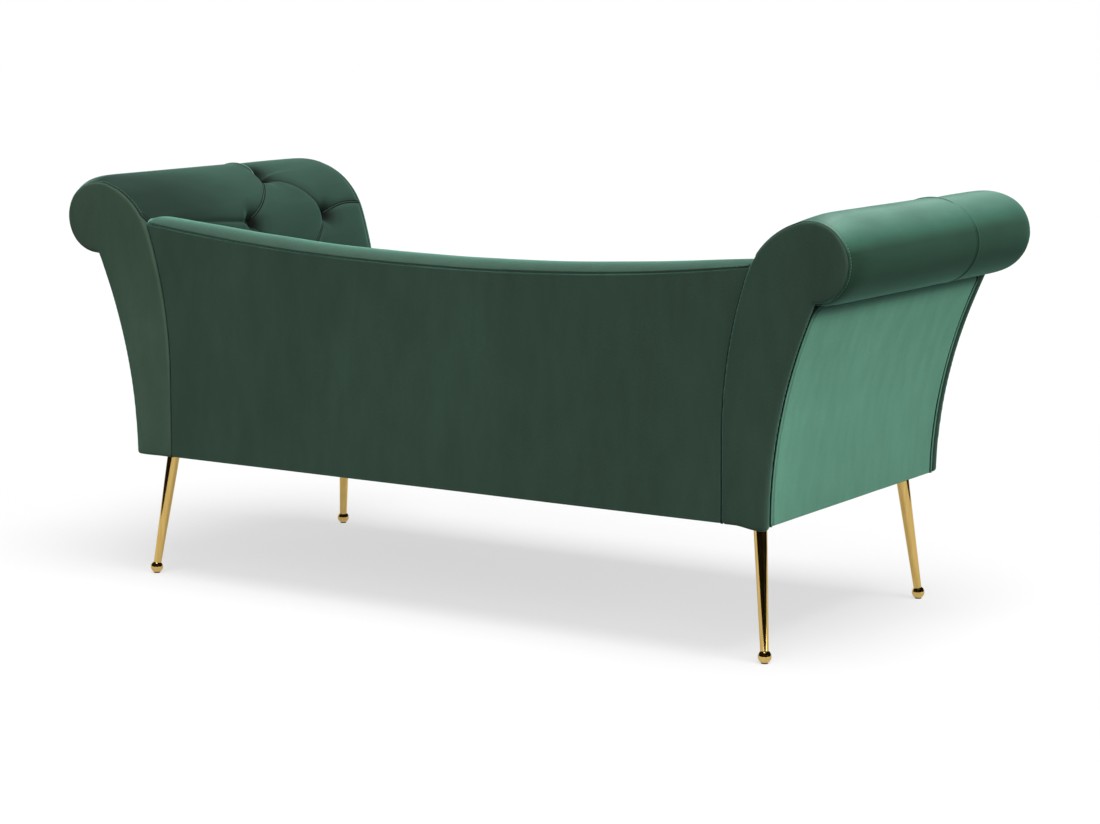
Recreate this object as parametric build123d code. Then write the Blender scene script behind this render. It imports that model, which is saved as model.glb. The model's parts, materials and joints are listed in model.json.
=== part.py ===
from build123d import *
import os
from math import acos, asin, atan2, cos, degrees, hypot, radians, sin, sqrt

os.makedirs("parts", exist_ok=True)

# Chaise longue with two scrolled, buttoned arms, a low dipped back and four splayed legs.
# Millimetres. X runs along the length with the sitter's left at +X, the front is at -Y, Z is up.
# The origin is on the floor, under the middle of the chaise.

# Body
LEG_HEIGHT = 235.0        # floor to the underside of the body
DEPTH = 650.0             # over the front and rear arm facings
SEAT_LENGTH = 1156.0      # between the two arms
SOFT_GAP = 0.5            # between padded faces that meet
SEAM_GAP = 0.7            # open seam between the back panel and the arm facings

# Arm outline, heights measured from the underside
ARM_FOOT = 83.0           # width of the arm at its foot
SWEEP_UP = 148.0          # where the inner side starts to lean outward
INNER_SWEEP = 780.0       # radius of the inner side
SHOULDER_UP = 405.0       # where the inner side turns over towards the roll
ROLL_UP = 430.0           # centre of the roll
ROLL_OUT = 167.5          # centre of the roll, out from the inner side at the foot
ROLL_RADIUS = 67.5        # roll at the facings
ROLL_TUCK = 16.0          # degrees past straight down where the cover ends under the roll
OUTER_SWEEP = 860.0       # radius of the outer side, upright at the foot

# Arm layers
FACING = 16.0             # padded scroll facing, front and rear
FACING_ROUND = 6.0        # rounded rim of a facing
WRAP_CROWN = 5.0          # how far the padded wrap stands proud of the facings
COVER = 2.0               # velvet with its backing
ARM_FOAM = 28.0
LINER = 3.0               # bent fibreboard under the foam
END_PANEL = 10.0          # padded outside end panel
WELT = 7.0                # piping along the end panel
WELT_PROUD = 1.5
BOARD = 18.0              # plywood scroll boards and joint boards
BOTTOM_RAIL = 40.0        # height of the arm's bottom rail
TOP_RAIL = 45.0           # square rail inside the roll
TACK_RAIL = 30.0          # square rail that the cover and the end panel are stapled to
TACK_DROP = 3.0           # tack rail below the roll

# Deep buttoning of the inner arm
TUFT_ROW = 100.0          # between rows, along the surface
TUFT_SPREAD = 114.0       # from the middle column to the outer ones
TUFT_FORWARD = 30.0       # middle column ahead of the middle of the open inner side
DIMPLE_RADIUS = 50.0
DIMPLE_DEPTH = 18.0
PLEAT_WIDTH = 3.0
PLEAT_DEPTH = 6.0
PLEAT_REACH = 80.0        # height of the cutter that follows a pleat
BUTTON_RADIUS = 11.0
BUTTON_RIM = 2.0
BUTTON_DOME = 5.0
BUTTON_FIT = 1.0          # room around a button in its dimple
TIE_RADIUS = 1.5
TIE_FIT = 0.3
TOGGLE_RADIUS = 9.0
TOGGLE = 2.0

# Back, heights measured from the underside
BACK_UP = 384.0           # outside seam at the middle of the back
BACK_DIP = 4750.0         # radius of the dipped top
BACK_THICK = 127.0
BACK_CROWN = 11.0         # rolled top above the outside seam
BACK_CROWN_IN = 62.0      # crest of the rolled top, in from the outside face
BACK_NOSE = 24.0          # front of the rolled top, below the outside seam
BACK_LEAN = 8.0           # front of the rolled top, behind the foot of the pad
BACK_PAD_ROUND = 155.0    # height of the rounded upper part of the pad
BACK_RAIL_UNDER = 12.0    # top rail below the outside seam
BACK_RAIL = 70.0
POST = 40.0
POSTS = 4

# Seat
RAIL = 22.0               # thickness of the seat and back rails
RAIL_HEIGHT = 90.0
RAIL_LIFT = 5.0           # seat rails above the underside
END_RAIL = 18.0
CROSS_RAILS = 2
CROSS_DROP = 10.0         # cross rails inside the depth of the seat rails
CORNER_BLOCK = 60.0
STRAP = 2.0
STRAP_WIDTH = 60.0
CROSS_STRAPS = 9
LONG_STRAPS = 3
STRAP_STEP = 10.0         # run over which a long strap drops to the end rail
STRAP_HOLD = 18.0         # strap stapled on a rail
DUST_COVER = 1.5          # black cloth under the seat box and the arms
APRON = 8.0
APRON_ROUND = 3.0
SEAT_SETBACK = 12.0       # apron behind the front of the arms
SEAT_NOSE = 3.0           # cushion ahead of the apron
SEAT_EDGE = 90.0          # cushion height at its edges
SEAT_ROUND = 22.0         # rounded front edge
SEAT_CROWN = 14.0         # at the middle of the seat
SEAT_END_CROWN = 6.0      # beside the arms
SEAT_BULGE = 3.0          # swell of the front face
SEAT_DRAW = 4.0           # front drawn in at the middle

# Legs
LEG_INSET = 59.0          # top of a leg, in from the facings
LEG_SPLAY = 26.0          # foot outward of the leg's top, along both X and Y
LEG_TOP_RADIUS = 12.0
LEG_FOOT_RADIUS = 7.0
LEG_WALL = 1.5
LEG_SOLID = 25.0          # solid end above the ball
BALL_RADIUS = 11.5
GLIDE = 1.5
GLIDE_RADIUS = 6.0
PLATE = 3.0
PLATE_SIZE = 54.0
SCREW_SPREAD = 36.0
SCREW_RADIUS = 2.0
SCREW_HEAD_RADIUS = 4.0
SCREW_HEAD = 2.5
SCREW_LENGTH = 26.0
STUD_RADIUS = 4.0
STUD_LENGTH = 24.0        # above the leg plate
PLUG = 10.0
HOLE_FIT = 0.2

# Bolts that join an arm to the seat box
BOLTS = 4
BOLT_UP = 65.0            # above the underside
BOLT_RADIUS = 4.0
BOLT_HEAD_RADIUS = 6.5
BOLT_HEAD = 5.0
BOLT_SPARE = 4.0          # bolt end past the T-nut
WASHER = 2.0
WASHER_RADIUS = 11.0
NUT_FLANGE = 1.5
NUT_FLANGE_RADIUS = 10.0
NUT_BARREL = 10.0
NUT_BARREL_RADIUS = 5.5

# Places worked out from the sizes
UNDERSIDE = LEG_HEIGHT
INNER_X = SEAT_LENGTH / 2
OUTER_X = INNER_X + ARM_FOOT
ROLL = (INNER_X + ROLL_OUT, UNDERSIDE + ROLL_UP)
SWEEP = (INNER_X + INNER_SWEEP, UNDERSIDE + SWEEP_UP)
OUTER = (OUTER_X + OUTER_SWEEP, UNDERSIDE)
SWEEP_TURN = degrees(asin((SHOULDER_UP - SWEEP_UP) / INNER_SWEEP))
TUCK_ANGLE = -90 - ROLL_TUCK
FACE_Y = DEPTH / 2
WRAP_END = FACE_Y - FACING
BOARD_IN = WRAP_END - BOARD
ARM_BASE = UNDERSIDE + DUST_COVER
FOAM_OUT = WRAP_CROWN - COVER
FOAM_IN = FOAM_OUT - ARM_FOAM
LINER_IN = FOAM_IN - LINER
ROLL_CLEAR = ROLL_RADIUS + WRAP_CROWN + SOFT_GAP
BACK_REACH = OUTER_X - END_PANEL
BACK_FRONT = FACE_Y - BACK_THICK
BACK_TOP = UNDERSIDE + BACK_UP
BACK_CENTRE = BACK_TOP + BACK_DIP
BACK_LINER_FRONT = WRAP_END - RAIL - LINER
TUFT_Y = (BACK_FRONT - WRAP_END) / 2 - TUFT_FORWARD
RAIL_BASE = UNDERSIDE + RAIL_LIFT
RAIL_TOP = RAIL_BASE + RAIL_HEIGHT
SEAT_BASE = RAIL_TOP + 2 * STRAP
SEAT_TOP = SEAT_BASE + SEAT_EDGE
APRON_FRONT = FACE_Y - SEAT_SETBACK
FRONT_RAIL_IN = APRON_FRONT - APRON - RAIL
REAR_RAIL_OUT = WRAP_END - RAIL
REAR_RAIL_IN = REAR_RAIL_OUT - RAIL
SEAT_HALF = INNER_X - WRAP_CROWN - SOFT_GAP
LEG_X = INNER_X + ARM_FOOT / 2
LEG_Y = FACE_Y - LEG_INSET
LEG_TOP = UNDERSIDE - PLATE
BALL_Z = GLIDE + sqrt(BALL_RADIUS**2 - GLIDE_RADIUS**2)
BALL = (LEG_X + LEG_SPLAY, LEG_Y + LEG_SPLAY, BALL_Z)
LEG_AXIS = Vector(-LEG_SPLAY, -LEG_SPLAY, LEG_TOP - BALL_Z)


# Small helpers

def box(x, y, z):
    """Box between a low and a high value along each axis."""
    sizes = [high - low for low, high in (x, y, z)]
    middle = [(high + low) / 2 for low, high in (x, y, z)]
    return Pos(*middle) * Box(*sizes)


def rod(start, end, radius):
    """Cylinder from one point to another."""
    along = Vector(*end) - Vector(*start)
    upright = Cylinder(radius, along.length, align=(Align.CENTER, Align.CENTER, Align.MIN))
    return Plane(origin=start, z_dir=along) * upright


def on_circle(centre, radius, angle):
    """Point of a circle at an angle in degrees."""
    return (centre[0] + radius * cos(radians(angle)), centre[1] + radius * sin(radians(angle)))


def arc(centre, radius, start, end):
    """Arc from one angle to another, in degrees."""
    angles = (start, (start + end) / 2, end)
    return ThreePointArc(*[on_circle(centre, radius, angle) for angle in angles])


def prism(outline, front, rear):
    """Upright outline in X and Z, given depth along Y."""
    return extrude(Plane.XZ.offset(-rear) * outline, amount=rear - front, dir=(0, -1, 0))


def across(shape):
    """The same shape on the other side, in X."""
    return mirror(shape, about=Plane.YZ)


def to_front(shape):
    """The same shape at the front, in Y."""
    return mirror(shape, about=Plane.XZ)


def four(shape):
    """A shape at the rear left corner, and its copies at the other three."""
    pair = [shape, across(shape)]
    return pair + [to_front(item) for item in pair]


def save(name, *shapes):
    """Write one node, as one solid or as a group of separate ones."""
    solids = [solid for shape in shapes for solid in shape.solids()]
    export_step(solids[0] if len(solids) == 1 else Compound(solids), f"parts/{name}.step")


def save_pair(name, left):
    """Write a piece of the left arm and its mirror image on the right."""
    save(f"left_{name}", left)
    save(f"right_{name}", across(left))


# Arm outline

def shoulder_circle():
    """Circle that carries the inner sweep over into the roll, touching both."""
    start = on_circle(SWEEP, INNER_SWEEP, 180 - SWEEP_TURN)
    inward = (cos(radians(SWEEP_TURN)), -sin(radians(SWEEP_TURN)))
    from_roll = (start[0] - ROLL[0], start[1] - ROLL[1])
    lean = inward[0] * from_roll[0] + inward[1] * from_roll[1]
    radius = (ROLL_RADIUS**2 - hypot(*from_roll)**2) / (2 * (lean + ROLL_RADIUS))
    centre = (start[0] + radius * inward[0], start[1] + radius * inward[1])
    return centre, radius


SHOULDER, SHOULDER_RADIUS = shoulder_circle()
SHOULDER_END = degrees(atan2(ROLL[1] - SHOULDER[1], ROLL[0] - SHOULDER[0]))


def under_roll(padding):
    """Where an arm outline turns in under the roll: its angles on the roll and on the outer sweep."""
    reach = (OUTER[0] - ROLL[0], OUTER[1] - ROLL[1])
    span = hypot(*reach)
    roll = ROLL_RADIUS + padding
    sweep = OUTER_SWEEP - padding
    turn = degrees(acos((roll**2 + span**2 - sweep**2) / (2 * roll * span)))
    roll_angle = degrees(atan2(reach[1], reach[0])) - turn
    meet = on_circle(ROLL, roll, roll_angle)
    return roll_angle, degrees(atan2(meet[1] - OUTER[1], meet[0] - OUTER[0]))


def wrap_edges(padding, roll_end):
    """Inner sweep, shoulder and roll of the arm, as far round the roll as an angle."""
    over = (SHOULDER_END + roll_end) / 2
    return [
        arc(SWEEP, INNER_SWEEP + padding, 180, 180 - SWEEP_TURN),
        arc(SHOULDER, SHOULDER_RADIUS + padding, 180 - SWEEP_TURN, SHOULDER_END),
        arc(ROLL, ROLL_RADIUS + padding, SHOULDER_END, over),
        arc(ROLL, ROLL_RADIUS + padding, over, roll_end),
    ]


def arm_outline(padding):
    """Whole scroll outline of the arm, grown by some padding."""
    roll_end, sweep_end = under_roll(padding)
    foot_in = (INNER_X - padding, UNDERSIDE)
    foot_out = (OUTER_X + padding, UNDERSIDE)
    edges = [Line(foot_in, (INNER_X - padding, SWEEP[1]))]
    edges += wrap_edges(padding, roll_end)
    edges.append(arc(OUTER, OUTER_SWEEP - padding, sweep_end, 180))
    edges.append(Line(foot_out, foot_in))
    return make_face(edges)


def wrap_band(inside, outside):
    """Layer of the arm's wrap between two paddings, from the seat over the roll to its tuck."""
    edges = wrap_edges(outside, TUCK_ANGLE) + wrap_edges(inside, TUCK_ANGLE)
    edges.append(Line((INNER_X - outside, SWEEP[1]), (INNER_X - inside, SWEEP[1])))
    tuck = [on_circle(ROLL, ROLL_RADIUS + layer, TUCK_ANGLE) for layer in (inside, outside)]
    edges.append(Line(*tuck))
    return make_face(edges)


def end_panel_outline():
    """Section of the outside end panel, tucked under the roll."""
    top = degrees(asin(ROLL_UP / OUTER_SWEEP))
    back = OUTER_SWEEP + END_PANEL
    edges = [arc(OUTER, OUTER_SWEEP, 180, 180 - top), arc(OUTER, back, 180, 180 - top)]
    edges.append(Line((OUTER_X, UNDERSIDE), (OUTER_X - END_PANEL, UNDERSIDE)))
    edges.append(Line(on_circle(OUTER, OUTER_SWEEP, 180 - top), on_circle(OUTER, back, 180 - top)))
    return make_face(edges) - Pos(*ROLL) * Circle(ROLL_CLEAR)


def beside_arms(outline, padding):
    """An outline of the back, cut to fit between the two arms."""
    arm = arm_outline(padding)
    return outline - arm - across(arm)


# Arm woodwork

def bolt_places():
    """Y of each bolt through the joint board, spread between the corner blocks."""
    bay = (FRONT_RAIL_IN + REAR_RAIL_IN - 2 * CORNER_BLOCK) / BOLTS
    first = -FRONT_RAIL_IN + CORNER_BLOCK + bay / 2
    return [first + number * bay for number in range(BOLTS)]


def along_x(start, end, radius):
    """Rods along X at every bolt of the left arm."""
    z = UNDERSIDE + BOLT_UP
    return [rod((start, y, z), (end, y, z), radius) for y in bolt_places()]


def joint_board():
    board = box((INNER_X, INNER_X + BOARD), (-BOARD_IN, BOARD_IN), (ARM_BASE, SWEEP[1]))
    board -= along_x(INNER_X - BOARD, INNER_X + 2 * BOARD, BOLT_RADIUS + HOLE_FIT)
    seat = INNER_X + BOARD - NUT_BARREL
    return board - along_x(seat, INNER_X + 2 * BOARD, NUT_BARREL_RADIUS + HOLE_FIT)


def scroll_board():
    """Plywood board behind the rear facing, inside the wrap and the end panel."""
    outline = arm_outline(0) - wrap_band(LINER_IN, WRAP_CROWN + COVER) - end_panel_outline()
    return prism(outline, BOARD_IN, WRAP_END) - arm_base_room(OUTER_X)


def bottom_rail():
    x = (INNER_X + BOARD, OUTER_X - END_PANEL)
    rail = box(x, (-BOARD_IN, BOARD_IN), (ARM_BASE, UNDERSIDE + BOTTOM_RAIL))
    return rail - leg_holes()


def leg_holes():
    """Holes for the studs and screws of both legs of the left arm."""
    holes = [leg_stud(HOLE_FIT)] + leg_screws(HOLE_FIT)
    return holes + [to_front(hole) for hole in holes]


def arm_base_room(outside):
    """Recess under the arm's woodwork for its base cloth."""
    return box((INNER_X, outside), (-WRAP_END, WRAP_END), (UNDERSIDE, ARM_BASE))


def arm_base_cloth():
    return arm_base_room(OUTER_X - END_PANEL) - leg_holes()


def top_rail():
    x, z = [(middle - TOP_RAIL / 2, middle + TOP_RAIL / 2) for middle in ROLL]
    return box(x, (-BOARD_IN, BOARD_IN), z)


def tack_rail():
    top = ROLL[1] - ROLL_RADIUS - WRAP_CROWN - TACK_DROP
    low = top - TACK_RAIL
    outside = OUTER[0] - sqrt((OUTER_SWEEP + END_PANEL)**2 - (low - UNDERSIDE)**2)
    return box((outside - TACK_RAIL, outside), (-BOARD_IN, BOARD_IN), (low, top))


# Arm upholstery

def wrap_place(run):
    """Place and outward direction on the wrap, a distance along it up from the shoulder's start."""
    centre, radius = (SHOULDER, SHOULDER_RADIUS) if run >= 0 else (SWEEP, INNER_SWEEP)
    angle = 180 - SWEEP_TURN - degrees(run / radius)
    return on_circle(centre, radius + WRAP_CROWN, angle), on_circle((0, 0), 1, angle)


def tuft_plane(run, y):
    """Plane on the wrap's surface, facing outward."""
    (x, z), (out_x, out_z) = wrap_place(run)
    return Plane(origin=(x, y, z), x_dir=(0, 1, 0), z_dir=(out_x, 0, out_z))


TOP_TUFT = (TUFT_ROW, TUFT_Y)
REAR_TUFT = (0.0, TUFT_Y + TUFT_SPREAD)
FRONT_TUFT = (0.0, TUFT_Y - TUFT_SPREAD)
LOW_TUFT = (-TUFT_ROW, TUFT_Y)
TUFTS = [TOP_TUFT, REAR_TUFT, FRONT_TUFT, LOW_TUFT]


def seat_run():
    """Distance along the wrap, from the shoulder's start down to the seat."""
    seat_turn = asin((SEAT_TOP - SWEEP[1]) / INNER_SWEEP)
    return (seat_turn - radians(SWEEP_TURN)) * INNER_SWEEP


def dimple(tuft, grow):
    """Hollow pulled in by a button, with a flat for the button at its bottom."""
    bowl = Pos(0, 0, DIMPLE_RADIUS - DIMPLE_DEPTH) * Sphere(DIMPLE_RADIUS + grow)
    floor = -DIMPLE_DEPTH - BUTTON_FIT - grow
    flat = rod((0, 0, floor), (0, 0, 0), BUTTON_RADIUS + BUTTON_FIT + grow)
    return tuft_plane(*tuft) * (bowl + flat)


def pleat(start, end, grow):
    """Sewn fold between two places on the wrap."""
    ends = [tuft_plane(*start), tuft_plane(*end)]
    along = ends[1].origin - ends[0].origin
    out = ends[0].z_dir + ends[1].z_dir
    middle = (ends[0].origin + ends[1].origin) / 2
    place = Plane(origin=middle, x_dir=along, z_dir=along.cross(out).cross(along))
    return place * Box(along.length, PLEAT_WIDTH + 2 * grow, PLEAT_REACH)


def roll_seam(grow):
    """Seam of the cover from the top button over the roll to its tuck."""
    (x, z), _ = wrap_place(TUFT_ROW)
    half = PLEAT_WIDTH / 2 + grow
    width = (TUFT_Y - half, TUFT_Y + half)
    return box((x, ROLL[0] + 2 * ROLL_RADIUS), width, (UNDERSIDE, ROLL[1] + 2 * ROLL_RADIUS))


def tufting(grow):
    """Everything that the buttons, pleats and seam take out of the padded wrap."""
    floor = WRAP_CROWN - PLEAT_DEPTH - grow
    skin = prism(wrap_band(floor, WRAP_CROWN + PLEAT_DEPTH), -FACE_Y, FACE_Y)
    runs = [(TOP_TUFT, REAR_TUFT), (TOP_TUFT, FRONT_TUFT), (LOW_TUFT, REAR_TUFT), (LOW_TUFT, FRONT_TUFT)]
    runs.append((FRONT_TUFT, (0.0, -FACE_Y)))
    runs.append((REAR_TUFT, (0.0, BACK_FRONT)))
    runs.append((LOW_TUFT, (seat_run(), TUFT_Y)))
    folds = [pleat(start, end, grow) for start, end in runs] + [roll_seam(grow)]
    return [fold & skin for fold in folds] + [dimple(tuft, grow) for tuft in TUFTS]


def toggle_seat():
    """Depth below the wrap's surface where a flat toggle rests on the curved back of the liner."""
    bend = SHOULDER_RADIUS + LINER_IN
    return WRAP_CROWN - LINER_IN + bend - sqrt(bend**2 - TOGGLE_RADIUS**2)


def tie(tuft, fit):
    """Tie from the foot of a button through cover, foam and liner."""
    start = -DIMPLE_DEPTH - BUTTON_FIT
    return tuft_plane(*tuft) * rod((0, 0, start), (0, 0, -toggle_seat()), TIE_RADIUS + fit)


def toggle(tuft):
    """Disc that holds a tie behind the liner."""
    start = -toggle_seat()
    return tuft_plane(*tuft) * rod((0, 0, start - TOGGLE), (0, 0, start), TOGGLE_RADIUS)


def button(tuft):
    """Covered button, domed on a short rim."""
    top = BUTTON_RIM + BUTTON_DOME
    dome = (BUTTON_RADIUS**2 + BUTTON_DOME**2) / (2 * BUTTON_DOME)
    rim_angle = degrees(acos(BUTTON_RADIUS / dome))
    edges = [Line((0, 0), (BUTTON_RADIUS, 0)), Line((BUTTON_RADIUS, 0), (BUTTON_RADIUS, BUTTON_RIM))]
    edges += [arc((0, top - dome), dome, rim_angle, 90), Line((0, top), (0, 0))]
    solid = revolve(Plane.XZ * make_face(edges), axis=Axis.Z)
    return tuft_plane(*tuft) * Pos(0, 0, -DIMPLE_DEPTH - BUTTON_FIT) * solid


def arm_padding():
    """Foam, cover and liner of the buttoned wrap."""
    holes = [tie(tuft, TIE_FIT) for tuft in TUFTS]
    foam = prism(wrap_band(FOAM_IN, FOAM_OUT), -WRAP_END, WRAP_END) - tufting(COVER)
    whole = prism(wrap_band(FOAM_IN, WRAP_CROWN), -WRAP_END, WRAP_END) - tufting(0)
    liner = prism(wrap_band(LINER_IN, FOAM_IN), -WRAP_END, WRAP_END)
    return foam - holes, whole - foam - holes, liner - holes


def facing():
    """Padded scroll facing at the rear, with a rounded rim."""
    rim = FACE_Y - FACING_ROUND
    flat = prism(arm_outline(0), WRAP_END, rim)
    sections = [Plane.XZ.offset(-rim) * arm_outline(0), Plane.XZ.offset(-FACE_Y) * arm_outline(-FACING_ROUND)]
    return flat + loft(sections, ruled=True)


def end_panel():
    return prism(end_panel_outline(), -WRAP_END + WELT, WRAP_END - WELT)


def welt():
    """Piping between the rear facing and the end panel."""
    inside = OUTER_X - END_PANEL
    middle = OUTER_X + WELT_PROUD - WELT / 2
    rear = WRAP_END
    front = WRAP_END - WELT
    crest = (middle + WELT / 2, (front + rear) / 2)
    edges = [Line((inside, front), (middle, front)), Line((middle, rear), (inside, rear))]
    edges += [ThreePointArc((middle, front), crest, (middle, rear)), Line((inside, rear), (inside, front))]
    turn = degrees(asin(ROLL_UP / OUTER_SWEEP))
    axis = Axis((OUTER[0], 0, OUTER[1]), (0, 1, 0))
    strip = revolve(Pos(0, 0, UNDERSIDE) * make_face(edges), axis=axis, revolution_arc=turn)
    return strip - prism(Pos(*ROLL) * Circle(ROLL_CLEAR), front, rear)


# Seat box

def seat_rails():
    z = (RAIL_BASE, RAIL_TOP)
    front = box((-INNER_X, INNER_X), (-FRONT_RAIL_IN - RAIL, -FRONT_RAIL_IN), z)
    rear = box((-INNER_X, INNER_X), (REAR_RAIL_IN, REAR_RAIL_OUT), z)
    end = box((INNER_X - END_RAIL, INNER_X), (-FRONT_RAIL_IN, REAR_RAIL_IN), z)
    end -= along_x(INNER_X - 2 * END_RAIL, INNER_X + END_RAIL, BOLT_RADIUS + HOLE_FIT)
    return front, rear, end


def cross_rails():
    bay = SEAT_LENGTH / (CROSS_RAILS + 1)
    places = [-INNER_X + bay * (number + 1) for number in range(CROSS_RAILS)]
    y = (-FRONT_RAIL_IN, REAR_RAIL_IN)
    z = (RAIL_BASE + CROSS_DROP, RAIL_TOP - CROSS_DROP)
    return [box((x - RAIL / 2, x + RAIL / 2), y, z) for x in places]


def corner_block(y, turn):
    """Glue block in a left corner of the seat box."""
    x = INNER_X - END_RAIL
    face = make_face(Polyline((x, y), (x - CORNER_BLOCK, y), (x, y + turn * CORNER_BLOCK), close=True))
    height = RAIL_HEIGHT - 2 * RAIL_LIFT
    return extrude(Pos(0, 0, RAIL_BASE + RAIL_LIFT) * face, amount=height, dir=(0, 0, 1))


def cross_webbing():
    """Straps from the front rail to the rear rail."""
    bay = (SEAT_LENGTH - 2 * END_RAIL) / CROSS_STRAPS
    first = -INNER_X + END_RAIL + bay / 2
    y = (-FRONT_RAIL_IN - STRAP_HOLD, REAR_RAIL_IN + STRAP_HOLD)
    z = (RAIL_TOP, RAIL_TOP + STRAP)
    middles = [first + number * bay for number in range(CROSS_STRAPS)]
    return [box((x - STRAP_WIDTH / 2, x + STRAP_WIDTH / 2), y, z) for x in middles]


def long_webbing():
    """Straps along the seat, over the others and down on to the end rails."""
    hold = INNER_X - END_RAIL
    level = [(-INNER_X, 0), (-hold, 0), (-hold + STRAP_STEP, STRAP)]
    level += [(-x, z) for x, z in reversed(level)]
    upper = [(x, z + STRAP) for x, z in reversed(level)]
    outline = Pos(0, RAIL_TOP) * make_face(Polyline(*level, *upper, close=True))
    bay = (FRONT_RAIL_IN + BACK_FRONT) / LONG_STRAPS
    middles = [-FRONT_RAIL_IN + bay * (number + 0.5) for number in range(LONG_STRAPS)]
    return [prism(outline, y - STRAP_WIDTH / 2, y + STRAP_WIDTH / 2) for y in middles]


def apron():
    """Upholstered front of the seat box."""
    x = (-INNER_X + SEAM_GAP, INNER_X - SEAM_GAP)
    pad = box(x, (-APRON_FRONT, -APRON_FRONT + APRON), (UNDERSIDE, SEAT_BASE))
    return fillet(pad.faces().sort_by(Axis.Y)[0].edges(), APRON_ROUND)


def seat_contour(middle, inset):
    """Front, rounded edge and crowned top of the cushion, at its middle or beside an arm."""
    front = -APRON_FRONT - SEAT_NOSE + inset + (SEAT_DRAW if middle else 0)
    rear = BACK_FRONT - SOFT_GAP - inset
    top = SEAT_TOP - inset
    turn = SEAT_ROUND - inset
    hub = (front + turn, top - turn)
    crown = SEAT_CROWN if middle else SEAT_END_CROWN
    swell = (front - SEAT_BULGE, (SEAT_BASE + hub[1]) / 2)
    crest = ((hub[0] + rear) / 2, top + crown)
    return [
        ThreePointArc((front, SEAT_BASE), swell, (front, hub[1])),
        arc(hub, turn, 180, 90),
        ThreePointArc((hub[0], top), crest, (rear, top)),
        Line((rear, top), (rear, SEAT_BASE)),
    ]


def seat_loft(edges_at):
    """Loft of the cushion from arm to arm through its middle."""
    stations = [(-SEAT_HALF, False), (0, True), (SEAT_HALF, False)]
    return loft([Plane.YZ.offset(x) * make_face(edges_at(middle)) for x, middle in stations])


def seat_foam_edges(middle):
    edges = seat_contour(middle, COVER)
    return edges + [Line(edges[-1] @ 1, edges[0] @ 0)]


def seat_cover_edges(middle):
    outside = seat_contour(middle, 0)
    inside = seat_contour(middle, COVER)
    ends = [Line(outside[0] @ 0, inside[0] @ 0), Line(outside[-1] @ 1, inside[-1] @ 1)]
    return outside + inside + ends


def dust_cover():
    y = (-FRONT_RAIL_IN - RAIL, WRAP_END)
    return box((-INNER_X, INNER_X), y, (RAIL_BASE - DUST_COVER, RAIL_BASE))


# Back

def dipped(low, drop, padding):
    """Upright outline between the arms, from a height to the dipped top or below it."""
    tall = ROLL[1] - low
    sheet = Pos(0, low + tall / 2) * Rectangle(2 * BACK_REACH, tall)
    return beside_arms(sheet - Pos(0, BACK_CENTRE) * Circle(BACK_DIP + drop), padding)


def back_posts():
    """Uprights on the rear rail, under the top rail."""
    reach = SEAT_HALF - POST / 2
    step = 2 * reach / (POSTS - 1)
    top = BACK_TOP - BACK_RAIL_UNDER - BACK_RAIL
    places = [-reach + number * step for number in range(POSTS)]
    return [box((x - POST / 2, x + POST / 2), (REAR_RAIL_OUT, WRAP_END), (RAIL_BASE, top)) for x in places]


def back_top_rail():
    low = BACK_TOP - BACK_RAIL_UNDER - BACK_RAIL
    return prism(dipped(low, BACK_RAIL_UNDER, WRAP_CROWN + SOFT_GAP), REAR_RAIL_OUT, WRAP_END)


def back_liner():
    outline = dipped(SEAT_BASE, BACK_RAIL_UNDER, WRAP_CROWN + SOFT_GAP)
    return prism(outline, BACK_LINER_FRONT, REAR_RAIL_OUT)


def back_outer_panel():
    return prism(dipped(UNDERSIDE, 0, SEAM_GAP), WRAP_END, FACE_Y)


def back_contour(inset):
    """Rolled top and front of the back pad, from the outside seam down past the seat."""
    seam = (FACE_Y - inset, BACK_TOP)
    crest = (FACE_Y - BACK_CROWN_IN, BACK_TOP + BACK_CROWN - inset)
    nose = (BACK_FRONT + BACK_LEAN + inset, BACK_TOP - BACK_NOSE - inset)
    flat = (BACK_FRONT + inset, BACK_TOP - BACK_PAD_ROUND)
    bend = (flat[0] + BACK_LEAN / 4, (nose[1] + flat[1]) / 2)
    foot = (flat[0], UNDERSIDE)
    return [ThreePointArc(seam, crest, nose), ThreePointArc(nose, bend, flat), Line(flat, foot)]


def back_revolve(edges):
    """Section of the back carried along its dipped top, cut at the seat and between the arms."""
    axis = Axis((0, 0, BACK_CENTRE), (0, 1, 0))
    turn = 2 * degrees(asin(OUTER_X / BACK_DIP))
    section = (Plane.YZ * make_face(edges)).rotate(axis, -turn / 2)
    body = revolve(section, axis=axis, revolution_arc=turn)
    arm = prism(arm_outline(WRAP_CROWN + SOFT_GAP), -2 * FACE_Y, 2 * FACE_Y)
    room = box((-BACK_REACH, BACK_REACH), (-FACE_Y, 2 * FACE_Y), (SEAT_BASE, ROLL[1] + ROLL_RADIUS))
    return (body & room) - arm - across(arm)


def back_foam():
    contour = back_contour(COVER)
    steps = [contour[-1] @ 1, (BACK_LINER_FRONT, UNDERSIDE), (BACK_LINER_FRONT, BACK_TOP - BACK_RAIL_UNDER)]
    steps += [(WRAP_END, BACK_TOP - BACK_RAIL_UNDER), (WRAP_END, BACK_TOP), contour[0] @ 0]
    return back_revolve(contour + [Line(*pair) for pair in zip(steps, steps[1:])])


def back_cover():
    outside = back_contour(0)
    inside = back_contour(COVER)
    ends = [Line(outside[0] @ 0, inside[0] @ 0), Line(outside[-1] @ 1, inside[-1] @ 1)]
    return back_revolve(outside + inside + ends)


# Legs, made at the rear left corner

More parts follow.
